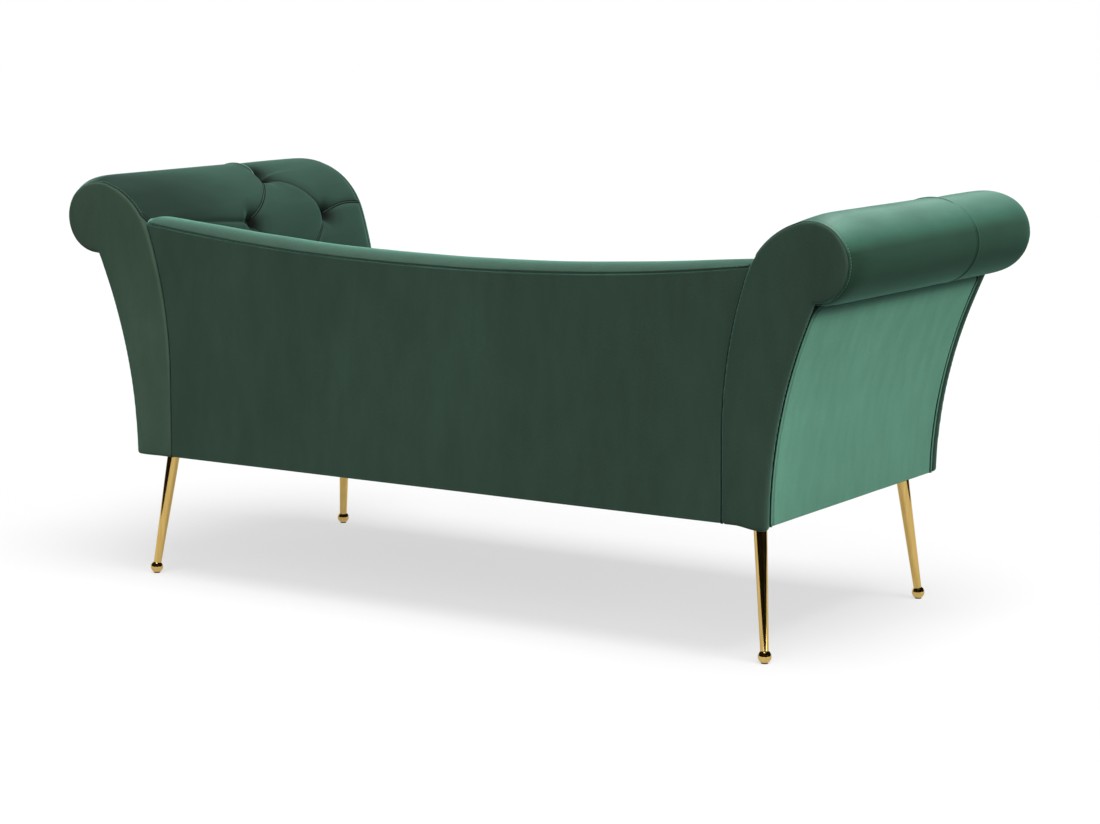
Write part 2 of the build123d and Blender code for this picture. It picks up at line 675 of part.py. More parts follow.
def leg_cone(foot, top, start):
    """Tapered round bar along the leg's axis, from a distance above the ball."""
    length = LEG_AXIS.length + PLUG
    slope = (top - foot) / length
    bar = Cone(foot + slope * start, top, length - start, align=(Align.CENTER, Align.CENTER, Align.MIN))
    return Plane(origin=BALL, z_dir=LEG_AXIS) * Pos(0, 0, start) * bar


def above(height):
    """Room around a leg above a height."""
    reach = 2 * OUTER_X
    return box((-reach, reach), (-reach, reach), (height, height + LEG_HEIGHT))


def leg():
    """Tapered tube on a ball with a flat for its glide."""
    bore = leg_cone(LEG_FOOT_RADIUS - LEG_WALL, LEG_TOP_RADIUS - LEG_WALL, LEG_SOLID)
    tube = leg_cone(LEG_FOOT_RADIUS, LEG_TOP_RADIUS, 0) + Pos(*BALL) * Sphere(BALL_RADIUS)
    return tube - bore - above(LEG_TOP) - above(GLIDE - LEG_HEIGHT)


def leg_head():
    """Middle of a leg where it meets its plate."""
    return Vector(LEG_X, LEG_Y, LEG_TOP)


def leg_stud(fit):
    """Threaded stud along the leg's axis, up into the bottom rail."""
    along = LEG_AXIS.normalized()
    start = leg_head() - along * PLUG
    end = leg_head() + along * (PLATE + STUD_LENGTH)
    return rod(tuple(start), tuple(end), STUD_RADIUS + fit)


def leg_plug():
    """Plug in the top of a leg, with its stud."""
    bore = LEG_TOP_RADIUS - LEG_WALL - HOLE_FIT
    core = leg_cone(LEG_FOOT_RADIUS - LEG_WALL - HOLE_FIT, bore, LEG_SOLID)
    return core - above(LEG_TOP) - above(LEG_TOP - PLUG - LEG_HEIGHT) + leg_stud(0)


def screw_places():
    half = SCREW_SPREAD / 2
    return [(LEG_X + x, LEG_Y + y) for x in (-half, half) for y in (-half, half)]


def leg_screws(fit):
    """Shanks of the four screws of a leg plate."""
    tip = LEG_TOP + SCREW_LENGTH
    return [rod((x, y, LEG_TOP), (x, y, tip), SCREW_RADIUS + fit) for x, y in screw_places()]


def plate_screws():
    heads = [rod((x, y, LEG_TOP - SCREW_HEAD), (x, y, LEG_TOP), SCREW_HEAD_RADIUS) for x, y in screw_places()]
    return [head + shank for head, shank in zip(heads, leg_screws(0))]


def leg_plate():
    half = PLATE_SIZE / 2
    plate = box((LEG_X - half, LEG_X + half), (LEG_Y - half, LEG_Y + half), (LEG_TOP, UNDERSIDE))
    return plate - leg_stud(HOLE_FIT) - leg_screws(HOLE_FIT)


def foot_glide():
    x, y, _ = BALL
    return rod((x, y, 0), (x, y, GLIDE), GLIDE_RADIUS)


# Bolts of the left arm

def arm_bolts():
    head = INNER_X - END_RAIL - WASHER
    end = INNER_X + BOARD + NUT_FLANGE + BOLT_SPARE
    shanks = along_x(head, end, BOLT_RADIUS)
    return [shank + top for shank, top in zip(shanks, along_x(head - BOLT_HEAD, head, BOLT_HEAD_RADIUS))]


def bolt_washers():
    inside = INNER_X - END_RAIL
    holes = along_x(inside - 2 * WASHER, inside + WASHER, BOLT_RADIUS + HOLE_FIT)
    return [disc - hole for disc, hole in zip(along_x(inside - WASHER, inside, WASHER_RADIUS), holes)]


def bolt_nuts():
    face = INNER_X + BOARD
    barrels = along_x(face - NUT_BARREL, face, NUT_BARREL_RADIUS)
    flanges = along_x(face, face + NUT_FLANGE, NUT_FLANGE_RADIUS)
    holes = along_x(face - 2 * NUT_BARREL, face + NUT_BARREL, BOLT_RADIUS + HOLE_FIT)
    return [barrel + flange - hole for barrel, flange, hole in zip(barrels, flanges, holes)]


def both_arms(shapes):
    return shapes + [across(shape) for shape in shapes]


# Write every piece

front_rail, rear_rail, end_rail = seat_rails()
save("seat_front_rail", front_rail)
save("seat_rear_rail", rear_rail)
save_pair("seat_end_rail", end_rail)
save("seat_cross_rails", *cross_rails())
blocks = [corner_block(-FRONT_RAIL_IN, 1), corner_block(REAR_RAIL_IN, -1)]
save("seat_corner_blocks", *both_arms(blocks))
save("seat_cross_webbing", *cross_webbing())
save("seat_long_webbing", *long_webbing())
save("seat_foam", seat_loft(seat_foam_edges))
save("seat_cover", seat_loft(seat_cover_edges))
save("seat_apron", apron())
save("dust_cover", dust_cover())

save("back_posts", *back_posts())
save("back_top_rail", back_top_rail())
save("back_liner", back_liner())
save("back_foam", back_foam())
save("back_cover", back_cover())
save("back_outer_panel", back_outer_panel())

save("arm_base_cloths", *both_arms([arm_base_cloth()]))
save_pair("arm_joint_board", joint_board())
save_pair("arm_rear_board", scroll_board())
save_pair("arm_front_board", to_front(scroll_board()))
save_pair("arm_bottom_rail", bottom_rail())
save_pair("arm_top_rail", top_rail())
save_pair("arm_tack_rail", tack_rail())
arm_foam, arm_cover, arm_liner = arm_padding()
save_pair("arm_foam", arm_foam)
save_pair("arm_cover", arm_cover)
save_pair("arm_liner", arm_liner)
save_pair("arm_end_panel", end_panel())
save_pair("arm_rear_facing", facing())
save_pair("arm_front_facing", to_front(facing()))
save_pair("arm_welts", Compound(welt().solids() + to_front(welt()).solids()))
save_pair("arm_buttons", Compound([button(tuft).solid() for tuft in TUFTS]))
save_pair("arm_button_ties", Compound([(tie(tuft, 0) + toggle(tuft)).solid() for tuft in TUFTS]))

for name, shape in zip(("rear_left", "rear_right", "front_left", "front_right"), four(leg())):
    save(f"leg_{name}", shape)
save("leg_plugs", *four(leg_plug()))
save("leg_plates", *four(leg_plate()))
save("leg_plate_screws", *[copy for screw in plate_screws() for copy in four(screw)])
save("foot_glides", *four(foot_glide()))
save("arm_bolts", *both_arms(arm_bolts()))
save("bolt_washers", *both_arms(bolt_washers()))
save("bolt_nuts", *both_arms(bolt_nuts()))
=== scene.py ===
import json
from math import acos, asin, atan2, ceil, copysign, cos, degrees, exp, hypot, pi, radians, sin, sqrt

import bmesh
import bpy
from mathutils import Matrix, Quaternion, Vector, noise
from mathutils.kdtree import KDTree


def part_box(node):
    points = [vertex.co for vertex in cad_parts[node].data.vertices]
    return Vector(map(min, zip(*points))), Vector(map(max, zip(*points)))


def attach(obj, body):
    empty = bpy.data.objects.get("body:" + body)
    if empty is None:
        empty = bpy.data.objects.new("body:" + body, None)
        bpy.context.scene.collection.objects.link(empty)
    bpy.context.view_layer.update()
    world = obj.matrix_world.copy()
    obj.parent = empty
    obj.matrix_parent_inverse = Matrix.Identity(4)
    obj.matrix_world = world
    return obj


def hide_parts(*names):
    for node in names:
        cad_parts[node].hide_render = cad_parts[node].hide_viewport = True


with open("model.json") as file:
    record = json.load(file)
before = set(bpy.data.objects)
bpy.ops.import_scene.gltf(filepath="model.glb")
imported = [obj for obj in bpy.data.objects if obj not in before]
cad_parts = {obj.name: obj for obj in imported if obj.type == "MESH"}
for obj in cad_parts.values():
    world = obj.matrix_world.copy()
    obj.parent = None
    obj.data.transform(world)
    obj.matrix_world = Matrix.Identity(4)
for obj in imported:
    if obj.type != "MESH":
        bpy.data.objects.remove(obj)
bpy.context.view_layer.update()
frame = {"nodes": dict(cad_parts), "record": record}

# Chaise longue in green velvet, seen from behind. Metres, in the frame of the solids:
# the sitter's left is +X, the front is -Y, Z is up and the floor is at 0.

# Places read from the frame
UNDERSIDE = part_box("back_outer_panel")[0].z
HEM_DROP = 0.0055             # fold of the velvet under the frame
HEM = UNDERSIDE - HEM_DROP
FACE_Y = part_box("left_arm_rear_facing")[1].y          # rear face of the chaise
WRAP_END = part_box("left_arm_cover")[1].y              # where the wrap meets a facing
SWEEP_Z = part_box("left_arm_cover")[0].z               # foot of the wrap, behind the seat
PANEL_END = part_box("left_arm_end_panel")[1].y
SEAT_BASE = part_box("seat_foam")[0].z
BACK_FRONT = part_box("back_cover")[0].y
APRON_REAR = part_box("seat_apron")[1].y
APRON_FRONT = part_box("seat_apron")[0].y

# Outline of the left arm, as the solids have it
INNER_X = 0.578
OUTER_X = 0.661
INNER_SWEEP = 0.780
SHOULDER_Z = UNDERSIDE + 0.405
ROLL_RADIUS = 0.0675
OUTER_SWEEP = 0.860
WRAP_CROWN = 0.005            # wrap proud of the facings
WRAP_FOAM = 0.030             # cover and foam of the wrap
END_PANEL = 0.010
SEAM_GAP = 0.0007
SOFT_GAP = 0.0005
SWEEP = Vector((INNER_X + INNER_SWEEP, SWEEP_Z))
OUTER = Vector((OUTER_X + OUTER_SWEEP, UNDERSIDE))
ROLL = Vector((INNER_X + 0.1675, UNDERSIDE + 0.430))
TUCK_ANGLE = -106.0           # where the wrap ends under the roll
SWEEP_TURN = degrees(asin((SHOULDER_Z - SWEEP_Z) / INNER_SWEEP))

# Back
BACK_TOP = UNDERSIDE + 0.384
BACK_DIP = 4.750              # radius of its dipped top
BACK_PULL = 0.0065            # how much lower it is pulled towards the right arm

# Deep buttoning: runs go up along the wrap from the shoulder's start
TUFT_ROW = 0.100
TUFT_SPREAD = 0.114
TUFT_FORWARD = 0.030          # middle column ahead of the middle of the open inner side
TUFT_Y = (BACK_FRONT - WRAP_END) / 2 - TUFT_FORWARD
TOP_TUFT = (TUFT_ROW, TUFT_Y)
REAR_TUFT = (0.0, TUFT_Y + TUFT_SPREAD)
FRONT_TUFT = (0.0, TUFT_Y - TUFT_SPREAD)
LOW_TUFT = (-TUFT_ROW, TUFT_Y)
TUFTS = [TOP_TUFT, REAR_TUFT, FRONT_TUFT, LOW_TUFT]
PIT_DEPTH = 0.0230
PIT_FLOOR = 0.008             # radius of the flat under a button
PIT_SLOPE = 0.0115
PIT_SKEW = 0.62               # how much gentler a pit is towards the front
BUTTON_RADIUS = 0.0095
BUTTON_EDGE = 0.0015          # rounding of a button's rim
BUTTON_HIGH = 0.0068
BUTTON_GATHERS = 9


# Shapes of the arm

def shoulder_circle():
    """Circle that carries the inner sweep over into the roll, touching both."""
    turn = radians(SWEEP_TURN)
    start = SWEEP + INNER_SWEEP * Vector((-cos(turn), sin(turn)))
    inward = Vector((cos(turn), -sin(turn)))
    from_roll = start - ROLL
    lean = inward.dot(from_roll)
    radius = (ROLL_RADIUS**2 - from_roll.length_squared) / (2 * (lean + ROLL_RADIUS))
    return start + radius * inward, radius


SHOULDER, SHOULDER_RADIUS = shoulder_circle()
SHOULDER_END = degrees(atan2(ROLL.y - SHOULDER.y, ROLL.x - SHOULDER.x))
SHOULDER_RUN = SHOULDER_RADIUS * radians(180 - SWEEP_TURN - SHOULDER_END)
WRAP_LOW = -INNER_SWEEP * radians(SWEEP_TURN)
WRAP_HIGH = SHOULDER_RUN + ROLL_RADIUS * radians(SHOULDER_END - TUCK_ANGLE)
FLAT_START = SHOULDER_RUN + ROLL_RADIUS * radians(SHOULDER_END - 20)
FLAT_FULL = SHOULDER_RUN + ROLL_RADIUS * radians(SHOULDER_END + 50)


def on_circle(centre, radius, angle):
    """Point of a circle at an angle in degrees."""
    return centre + radius * Vector((cos(radians(angle)), sin(radians(angle))))


def wrap_angle(run):
    """Arc of the wrap at a run: its centre, radius and angle."""
    if run < SHOULDER_RUN:
        centre, radius = (SWEEP, INNER_SWEEP) if run < 0 else (SHOULDER, SHOULDER_RADIUS)
        return centre, radius, 180 - SWEEP_TURN - degrees(run / radius)
    return ROLL, ROLL_RADIUS, SHOULDER_END - degrees((run - SHOULDER_RUN) / ROLL_RADIUS)


def wrap_place(run, y, padding):
    """Point over the left arm, some padding out from the outline of its facings."""
    centre, radius, angle = wrap_angle(run)
    flat = on_circle(centre, radius + padding, angle)
    return Vector((flat.x, y, flat.y))


def roll_meets_sweep():
    """Angles on the roll and on the outer sweep where the outline turns in under the roll."""
    reach = OUTER - ROLL
    turn = acos((ROLL_RADIUS**2 + reach.length_squared - OUTER_SWEEP**2) / (2 * ROLL_RADIUS * reach.length))
    roll_angle = degrees(atan2(reach.y, reach.x) - turn)
    meet = on_circle(ROLL, ROLL_RADIUS, roll_angle)
    return roll_angle, degrees(atan2(meet.y - OUTER.y, meet.x - OUTER.x))


def inner_x(z, padding):
    """Where the inner side of the left arm stands at a height, with some padding on it."""
    if z < SWEEP_Z:
        return INNER_X - padding
    if z < SHOULDER_Z:
        return SWEEP.x - sqrt((INNER_SWEEP + padding)**2 - (z - SWEEP.y)**2)
    return SHOULDER.x - sqrt((SHOULDER_RADIUS + padding)**2 - (z - SHOULDER.y)**2)


def smooth_step(value, low, high):
    """Rises smoothly from 0 at low to 1 at high."""
    share = min(max((value - low) / (high - low), 0), 1)
    return share * share * (3 - 2 * share)


def back_rise(x):
    """How much higher the dipped back is than at its middle, pulled a little lower towards the right arm."""
    return BACK_DIP - sqrt(BACK_DIP**2 - x**2) - BACK_PULL * smooth_step(-x, -0.15, 0.55)


# Making of soft pieces

def line_to(bm, vert, end, step):
    """Straight run of short edges from a vertex to a point; gives its last vertex."""
    start = vert.co.copy()
    end = Vector((*end, 0))
    count = max(1, ceil((end - start).length / step))
    for number in range(count):
        vert = bmesh.ops.extrude_vert_indiv(bm, verts=[vert])["verts"][0]
        vert.co = start.lerp(end, (number + 1) / count)
    return vert


def arc_to(bm, vert, centre, turn, step):
    """Arc of short edges about a centre, turning by some degrees; gives its last vertex."""
    centre = Vector((*centre, 0))
    count = max(2, ceil(abs(radians(turn)) * (vert.co - centre).length / step))
    swept = bmesh.ops.spin(
        bm, geom=[vert], cent=centre, axis=(0, 0, 1), angle=radians(turn), steps=count
    )
    return next(item for item in swept["geom_last"] if isinstance(item, bmesh.types.BMVert))


def arc_through(bm, vert, middle, end, step):
    """Arc from a vertex through a middle point to an end point; gives its last vertex."""
    start = vert.co.to_2d()
    middle, end = Vector(middle), Vector(end)
    first, second = middle - start, end - start
    cross = 2 * (first.x * second.y - first.y * second.x)
    reach = Vector((
        (second.y * first.length_squared - first.y * second.length_squared) / cross,
        (first.x * second.length_squared - second.x * first.length_squared) / cross,
    ))
    centre = start + reach
    turn = atan2(end.y - centre.y, end.x - centre.x) - atan2(start.y - centre.y, start.x - centre.x)
    turn = turn % (2 * pi) if cross > 0 else turn % (2 * pi) - 2 * pi
    return arc_to(bm, vert, centre, degrees(turn), step)


def filled(bm):
    """Closes a chain of edges and fills it with one face."""
    bmesh.ops.remove_doubles(bm, verts=bm.verts[:], dist=1e-5)
    return bmesh.ops.contextual_create(bm, geom=bm.edges[:])["faces"]


def drawn_out(bm, length, steps):
    """Fills a closed chain and draws it out along Z in even steps, to a closed form."""
    faces = filled(bm)
    step = Vector((0, 0, length / steps))
    bmesh.ops.spin(bm, geom=faces, cent=(0, 0, 0), axis=(0, 0, 1), dvec=step, angle=0, steps=steps)
    bmesh.ops.recalc_face_normals(bm, faces=bm.faces[:])


def linked(name, mesh):
    """New object at the origin."""
    piece = bpy.data.objects.new(name, mesh)
    bpy.context.scene.collection.objects.link(piece)
    return piece


def to_object(name, bm):
    """New object at the origin from a form that is done."""
    mesh = bpy.data.meshes.new(name)
    bm.to_mesh(mesh)
    bm.free()
    return linked(name, mesh)


def evenly_meshed(bm, voxel):
    """The same closed form with an even mesh, fine enough to be shaped as cloth."""
    blank = to_object("blank", bm)
    remesh = blank.modifiers.new("even", "REMESH")
    remesh.mode = "VOXEL"
    remesh.voxel_size = voxel
    even = bmesh.new()
    even.from_object(blank, bpy.context.evaluated_depsgraph_get())
    bpy.data.objects.remove(blank)
    return even


SWELL_FRAMES = 20
PAD_PRESSURE = 4.0


def plumped(bm, voxel, cap, held):
    """Even copy of a pad, swollen as cloth under pressure where it isn't held, but no further than a cap."""
    even = evenly_meshed(bm, voxel)
    pad = to_object("pad", even)
    start = [vert.co.copy() for vert in pad.data.vertices]
    pins = pad.vertex_groups.new(name="held")
    pins.add([number for number, place in enumerate(start) if held(place)], 1.0, "REPLACE")
    cloth = pad.modifiers.new("plump", "CLOTH").settings
    cloth.vertex_group_mass = pins.name
    cloth.use_pressure = True
    cloth.uniform_pressure_force = PAD_PRESSURE
    cloth.effector_weights.gravity = 0
    for number in range(1, SWELL_FRAMES + 1):
        bpy.context.scene.frame_set(number)
    swollen = bmesh.new()
    swollen.from_object(pad, bpy.context.evaluated_depsgraph_get())
    for vert, place in zip(swollen.verts, start):
        step = vert.co - place
        vert.co = place + step * min(1, cap / max(step.length, 1e-9))
    bpy.context.scene.frame_set(1)
    bpy.data.objects.remove(pad)
    return swollen


def finish_piece(name, bm, material, stands_for):
    """Smooth shaded piece that rides on the chaise and stands for its solids."""
    bmesh.ops.recalc_face_normals(bm, faces=bm.faces[:])
    for face in bm.faces:
        face.smooth = True
    piece = to_object(name, bm)
    piece.data.materials.append(material)
    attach(piece, "root")
    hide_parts(*stands_for)
    return piece


def add_form(bm, made):
    """Adds a made form to another one."""
    mesh = bpy.data.meshes.new("form")
    made.to_mesh(mesh)
    made.free()
    bm.from_mesh(mesh)
    bpy.data.meshes.remove(mesh)


def moved(bm, place):
    """Puts every point of a form where a function says."""
    for vert in bm.verts:
        vert.co = place(*vert.co)


FRONT_LEAN = 0.0165           # how far an arm's front leans forward at the height of its roll
REAR_LEAN = 0.007
ROLL_REACH = 0.006            # how much further the outside of a roll reaches to the rear
ROLL_WIDE = 0.003             # how much wider a roll is at the middle of its length
ROLL_OUT = 0.005              # what its front has more of that, and its rear less
FRONT_SPLAY = 0.005           # how far an arm's front opens outwards at the height of its roll


def leaned(place, side):
    """A place on an arm with the arm's lean and splay."""
    x, y, z = place
    up = max(z - UNDERSIDE, 0) / (ROLL.y - UNDERSIDE)
    ahead = (WRAP_END - y) / (2 * WRAP_END)
    outside = smooth_step(abs(x), ROLL.x - 0.010, ROLL.x + 0.055)
    lean = REAR_LEAN * up + ROLL_REACH * outside if y > 0 else -FRONT_LEAN * up
    splay = FRONT_SPLAY * ahead * up**2 + (ROLL_WIDE + ROLL_OUT * (2 * ahead - 1)) * outside
    return Vector((x + side * splay, y + lean * (y / WRAP_END)**2, z))


def set_arm(bm, side, end=1):
    """Carries a piece of the left rear arm to its own side and end, and gives it the arm's lean and splay."""
    bmesh.ops.scale(bm, verts=bm.verts[:], vec=(side, end, 1))
    for vert in bm.verts:
        vert.co = leaned(vert.co, side)


def slack(place, depth, scale):
    """Slight unevenness of stretched cloth, at a place in the frame."""
    return depth * noise.noise(place * scale)


# Finishes

def node_tree(name):
    """New material with its tree of nodes, its shader and its object coordinates."""
    material = bpy.data.materials.new(name)
    material.use_nodes = True
    tree = material.node_tree
    shader = tree.nodes["Principled BSDF"]
    place = tree.nodes.new("ShaderNodeTexCoord").outputs["Object"]
    return material, tree, shader, place


def noise_node(tree, place, scale, detail=2.0, stretch=(1, 1, 1)):
    """Noise over the surface, drawn out along an axis by a small stretch value."""
    mapping = tree.nodes.new("ShaderNodeMapping")
    mapping.inputs["Scale"].default_value = stretch
    tree.links.new(place, mapping.inputs["Vector"])
    texture = tree.nodes.new("ShaderNodeTexNoise")
    texture.inputs["Scale"].default_value = scale
    texture.inputs["Detail"].default_value = detail
    tree.links.new(mapping.outputs["Vector"], texture.inputs["Vector"])
    return texture.outputs["Fac"]


def ramp_node(tree, factor, stops):
    """Colours along a ramp, from (position, colour) pairs."""
    ramp = tree.nodes.new("ShaderNodeValToRGB")
    elements = ramp.color_ramp.elements
    elements[1].position = stops[-1][0]
    elements[0].position = stops[0][0]
    for position, _ in stops[1:-1]:
        elements.new(position)
    for element, (_, colour) in zip(elements, stops):
        element.color = (*colour, 1)
    tree.links.new(factor, ramp.inputs["Fac"])
    return ramp.outputs["Color"]


def range_node(tree, factor, low, high, start=0.0, end=1.0):
    """Carries a factor, 0 to 1 or from a start to an end, to a range of values."""
    scale = tree.nodes.new("ShaderNodeMapRange")
    scale.inputs["From Min"].default_value = start
    scale.inputs["From Max"].default_value = end
    scale.inputs["To Min"].default_value = low
    scale.inputs["To Max"].default_value = high
    tree.links.new(factor, scale.inputs["Value"])
    return scale.outputs["Result"]


def mixed(tree, first, second, factor, blend):
    """Two colours mixed by a constant factor, or by another node's."""
    mix = tree.nodes.new("ShaderNodeMix")
    mix.data_type = "RGBA"
    mix.blend_type = blend
    if isinstance(factor, float):
        mix.inputs["Factor"].default_value = factor
    else:
        tree.links.new(factor, mix.inputs["Factor"])
    tree.links.new(first, mix.inputs["A"])
    tree.links.new(second, mix.inputs["B"])
    return mix.outputs["Result"]


def bump_node(tree, shader, heights):
    """Stacks (height, strength, distance) bumps on the shader's normal."""
    normal = None
    for height, strength, distance in heights:
        bump = tree.nodes.new("ShaderNodeBump")
        bump.inputs["Strength"].default_value = strength
        bump.inputs["Distance"].default_value = distance
        tree.links.new(height, bump.inputs["Height"])
        if normal is not None:
            tree.links.new(normal, bump.inputs["Normal"])
        normal = bump.outputs["Normal"]
    tree.links.new(normal, shader.inputs["Normal"])


PAINTED_LIGHT_CREST = 74.0              # direction from a roll's axis that lies between its outer and its inner side
ROLL_PAINTED_OUTSIDE = [               # turned from there, in degrees: painted highlight over the crest, painted shade on both sides
    (-58, (0.023, 0.064, 0.037)),
    (-42, (0.056, 0.167, 0.115)),
]
# painted highlight and painted shade over and inside each roll, laid out differently for either arm
ROLL_PAINTED_OVER = {
    "left": [
        (-24, (0.161, 0.318, 0.250)),
        (-13, (0.200, 0.350, 0.285)),
        (0, (0.105, 0.172, 0.138)),
        (21, (0.034, 0.077, 0.055)),
    ],
    "right": [
        (-14, (0.161, 0.318, 0.250)),
        (0, (0.235, 0.405, 0.330)),
        (18, (0.150, 0.285, 0.225)),
        (34, (0.095, 0.195, 0.150)),
        (46, (0.034, 0.077, 0.055)),
    ],
}
REAR_PAINTED_SHADE = (0.0, 0.22)        # from where to where painted shade darkens the inner side towards the rear
REAR_SHADE_TONE = 0.45              # tone of that painted shade there
PIT_SHADE_AHEAD = 0.009       # how far in front of a button the painted shade of its hollow is darkest
PIT_SHADE_REACH = 0.050
SEAM_HOLLOW = (TUFT_ROW + 0.027, TUFT_Y - 0.004)      # hollow in front of the seam, over the top button, also given painted shade
PANEL_CREASE = 0.585          # height of the crease between an end panel and its roll, where its painted shadow is darkest


def grey(tone):
    """Grey of a tone, as a colour."""
    return (tone, tone, tone)


def shade_along(tree, place, axis, low, high, stops):
    """Greys along one axis of the frame, between two places on it."""
    apart = tree.nodes.new("ShaderNodeSeparateXYZ")
    tree.links.new(place, apart.inputs["Vector"])
    along = range_node(tree, apart.outputs[axis], 0.0, 1.0, low, high)
    return ramp_node(tree, along, [(position, grey(tone)) for position, tone in stops])


def pit_shade(tree, place):
    """Painted shade in the hollows round the buttons of either arm."""
    apart = tree.nodes.new("ShaderNodeSeparateXYZ")
    tree.links.new(place, apart.inputs["Vector"])
    folded = tree.nodes.new("ShaderNodeMath")
    folded.operation = "ABSOLUTE"
    tree.links.new(apart.outputs["X"], folded.inputs[0])
    either = tree.nodes.new("ShaderNodeCombineXYZ")
    tree.links.new(folded.outputs["Value"], either.inputs["X"])
    tree.links.new(apart.outputs["Y"], either.inputs["Y"])
    tree.links.new(apart.outputs["Z"], either.inputs["Z"])
    nearest = None
    for run, y in TUFTS + [SEAM_HOLLOW]:
        away = tree.nodes.new("ShaderNodeVectorMath")
        away.operation = "DISTANCE"
        tree.links.new(either.outputs["Vector"], away.inputs[0])
        away.inputs[1].default_value = leaned(wrap_place(run, y - PIT_SHADE_AHEAD, -0.006), 1)
        if nearest is None:
            nearest = away.outputs["Value"]
            continue
        nearer = tree.nodes.new("ShaderNodeMath")
        nearer.operation = "MINIMUM"
        tree.links.new(nearest, nearer.inputs[0])
        tree.links.new(away.outputs["Value"], nearer.inputs[1])
        nearest = nearer.outputs["Value"]
    share = range_node(tree, nearest, 0.0, 1.0, 0.0, PIT_SHADE_REACH)
    stops = [(0.16, 0.05), (0.32, 0.30), (0.60, 0.78), (1.0, 1.0)]
    return ramp_node(tree, share, [(position, grey(tone)) for position, tone in stops])


def roll_painted_light(arm):
    """Painted highlight and painted shade round the roll of an arm, for its material."""
    return lambda tree, place: roll_light_and_shade(tree, place, ROLL_PAINTED_OUTSIDE + ROLL_PAINTED_OVER[arm])


def roll_light_and_shade(tree, place, shades):
    """Painted tones round a roll: a painted highlight over its crest, painted shade under and beside it,
    darker to the rear on its inner side and in the hollows of the buttons.
    """
    folded = tree.nodes.new("ShaderNodeVectorMath")
    folded.operation = "ABSOLUTE"
    tree.links.new(place, folded.inputs[0])
    turned = tree.nodes.new("ShaderNodeMapping")
    turned.vector_type = "TEXTURE"
    turned.inputs["Location"].default_value = (ROLL.x, 0, ROLL.y)
    turned.inputs["Rotation"].default_value = (0, -radians(PAINTED_LIGHT_CREST), 0)
    tree.links.new(folded.outputs["Vector"], turned.inputs["Vector"])
    apart = tree.nodes.new("ShaderNodeSeparateXYZ")
    tree.links.new(turned.outputs["Vector"], apart.inputs["Vector"])
    angle = tree.nodes.new("ShaderNodeMath")
    angle.operation = "ARCTAN2"
    tree.links.new(apart.outputs["Z"], angle.inputs[0])
    tree.links.new(apart.outputs["X"], angle.inputs[1])
    around = range_node(tree, angle.outputs["Value"], 0.0, 1.0, -pi, pi)
    tone = ramp_node(tree, around, [(0.5 + turn / 360, colour) for turn, colour in shades])
    last = 0.5 + shades[-1][0] / 360
    inside = ramp_node(tree, around, [(last - 0.04, grey(0.0)), (last, grey(1.0))])
    rear_shade = shade_along(tree, place, "Y", *REAR_PAINTED_SHADE, [(0.0, 1.0), (1.0, REAR_SHADE_TONE)])
    tone = mixed(tree, tone, rear_shade, inside, "MULTIPLY")
    return mixed(tree, tone, pit_shade(tree, place), 1.0, "MULTIPLY")


def panel_painted_shade(tree, place):
    """Painted shade on an end panel: darker towards its foot, with a painted shadow in the crease under the
    roll.
    """
    stops = [(0.0, 0.68), (0.48, 1.0), (0.91, 1.0), (0.94, 0.90), (0.965, 0.64), (0.983, 0.32), (1.0, 0.06)]
    return shade_along(tree, place, "Z", UNDERSIDE, PANEL_CREASE, stops)


def facing_painted_shade(tree, place):
    """Painted shade on the left facings, darker towards their rolls."""
    return shade_along(tree, place, "Z", 0.42, 0.64, [(0.0, 1.0), (1.0, 0.74)])


def band_painted_shade(tree, place):
    """Painted shade on the back's rolled top, darker towards the left arm."""
    return shade_along(tree, place, "X", 0.30, 0.62, [(0.0, 1.0), (1.0, 0.72)])


def velvet(name, dark, light, sheen, weight=1.0, brush=(1, 1, 0.3), painted_tone=None):
    """Short-pile green velvet: nap brushed in soft patches, with a pale sheen where it turns away, and any
    painted light or shade that a caller gives.
    """
    material, tree, shader, place = node_tree(name)
    nap = noise_node(tree, place, 5.0, 3.0, (1, 1, 0.45))
    pile = noise_node(tree, place, 900.0, 2.0)
    brushed = noise_node(tree, place, 38.0, 4.0, brush)
    deep = ramp_node(tree, nap, [(0.30, dark), (0.70, light)])
    fibre = ramp_node(tree, pile, [(0.30, grey(0.75)), (0.70, grey(1.0))])
    streak = ramp_node(tree, brushed, [(0.35, grey(0.88)), (0.65, grey(1.0))])
    colour = mixed(tree, deep, fibre, 1.0, "MULTIPLY")
    colour = mixed(tree, colour, streak, 1.0, "MULTIPLY")
    # painted light or shade, multiplied into the colour
    if painted_tone is not None:
        colour = mixed(tree, colour, painted_tone(tree, place), 1.0, "MULTIPLY")
    tree.links.new(colour, shader.inputs["Base Color"])
    tree.links.new(range_node(tree, nap, 0.78, 0.95), shader.inputs["Roughness"])
    shader.inputs["Specular IOR Level"].default_value = 0.2
    shader.inputs["Sheen Weight"].default_value = weight
    shader.inputs["Sheen Roughness"].default_value = sheen
    shader.inputs["Sheen Tint"].default_value = (0.40, 0.97, 0.75, 1)
    bump_node(tree, shader, [(pile, 0.35, 0.0006), (brushed, 0.12, 0.001)])
    return material


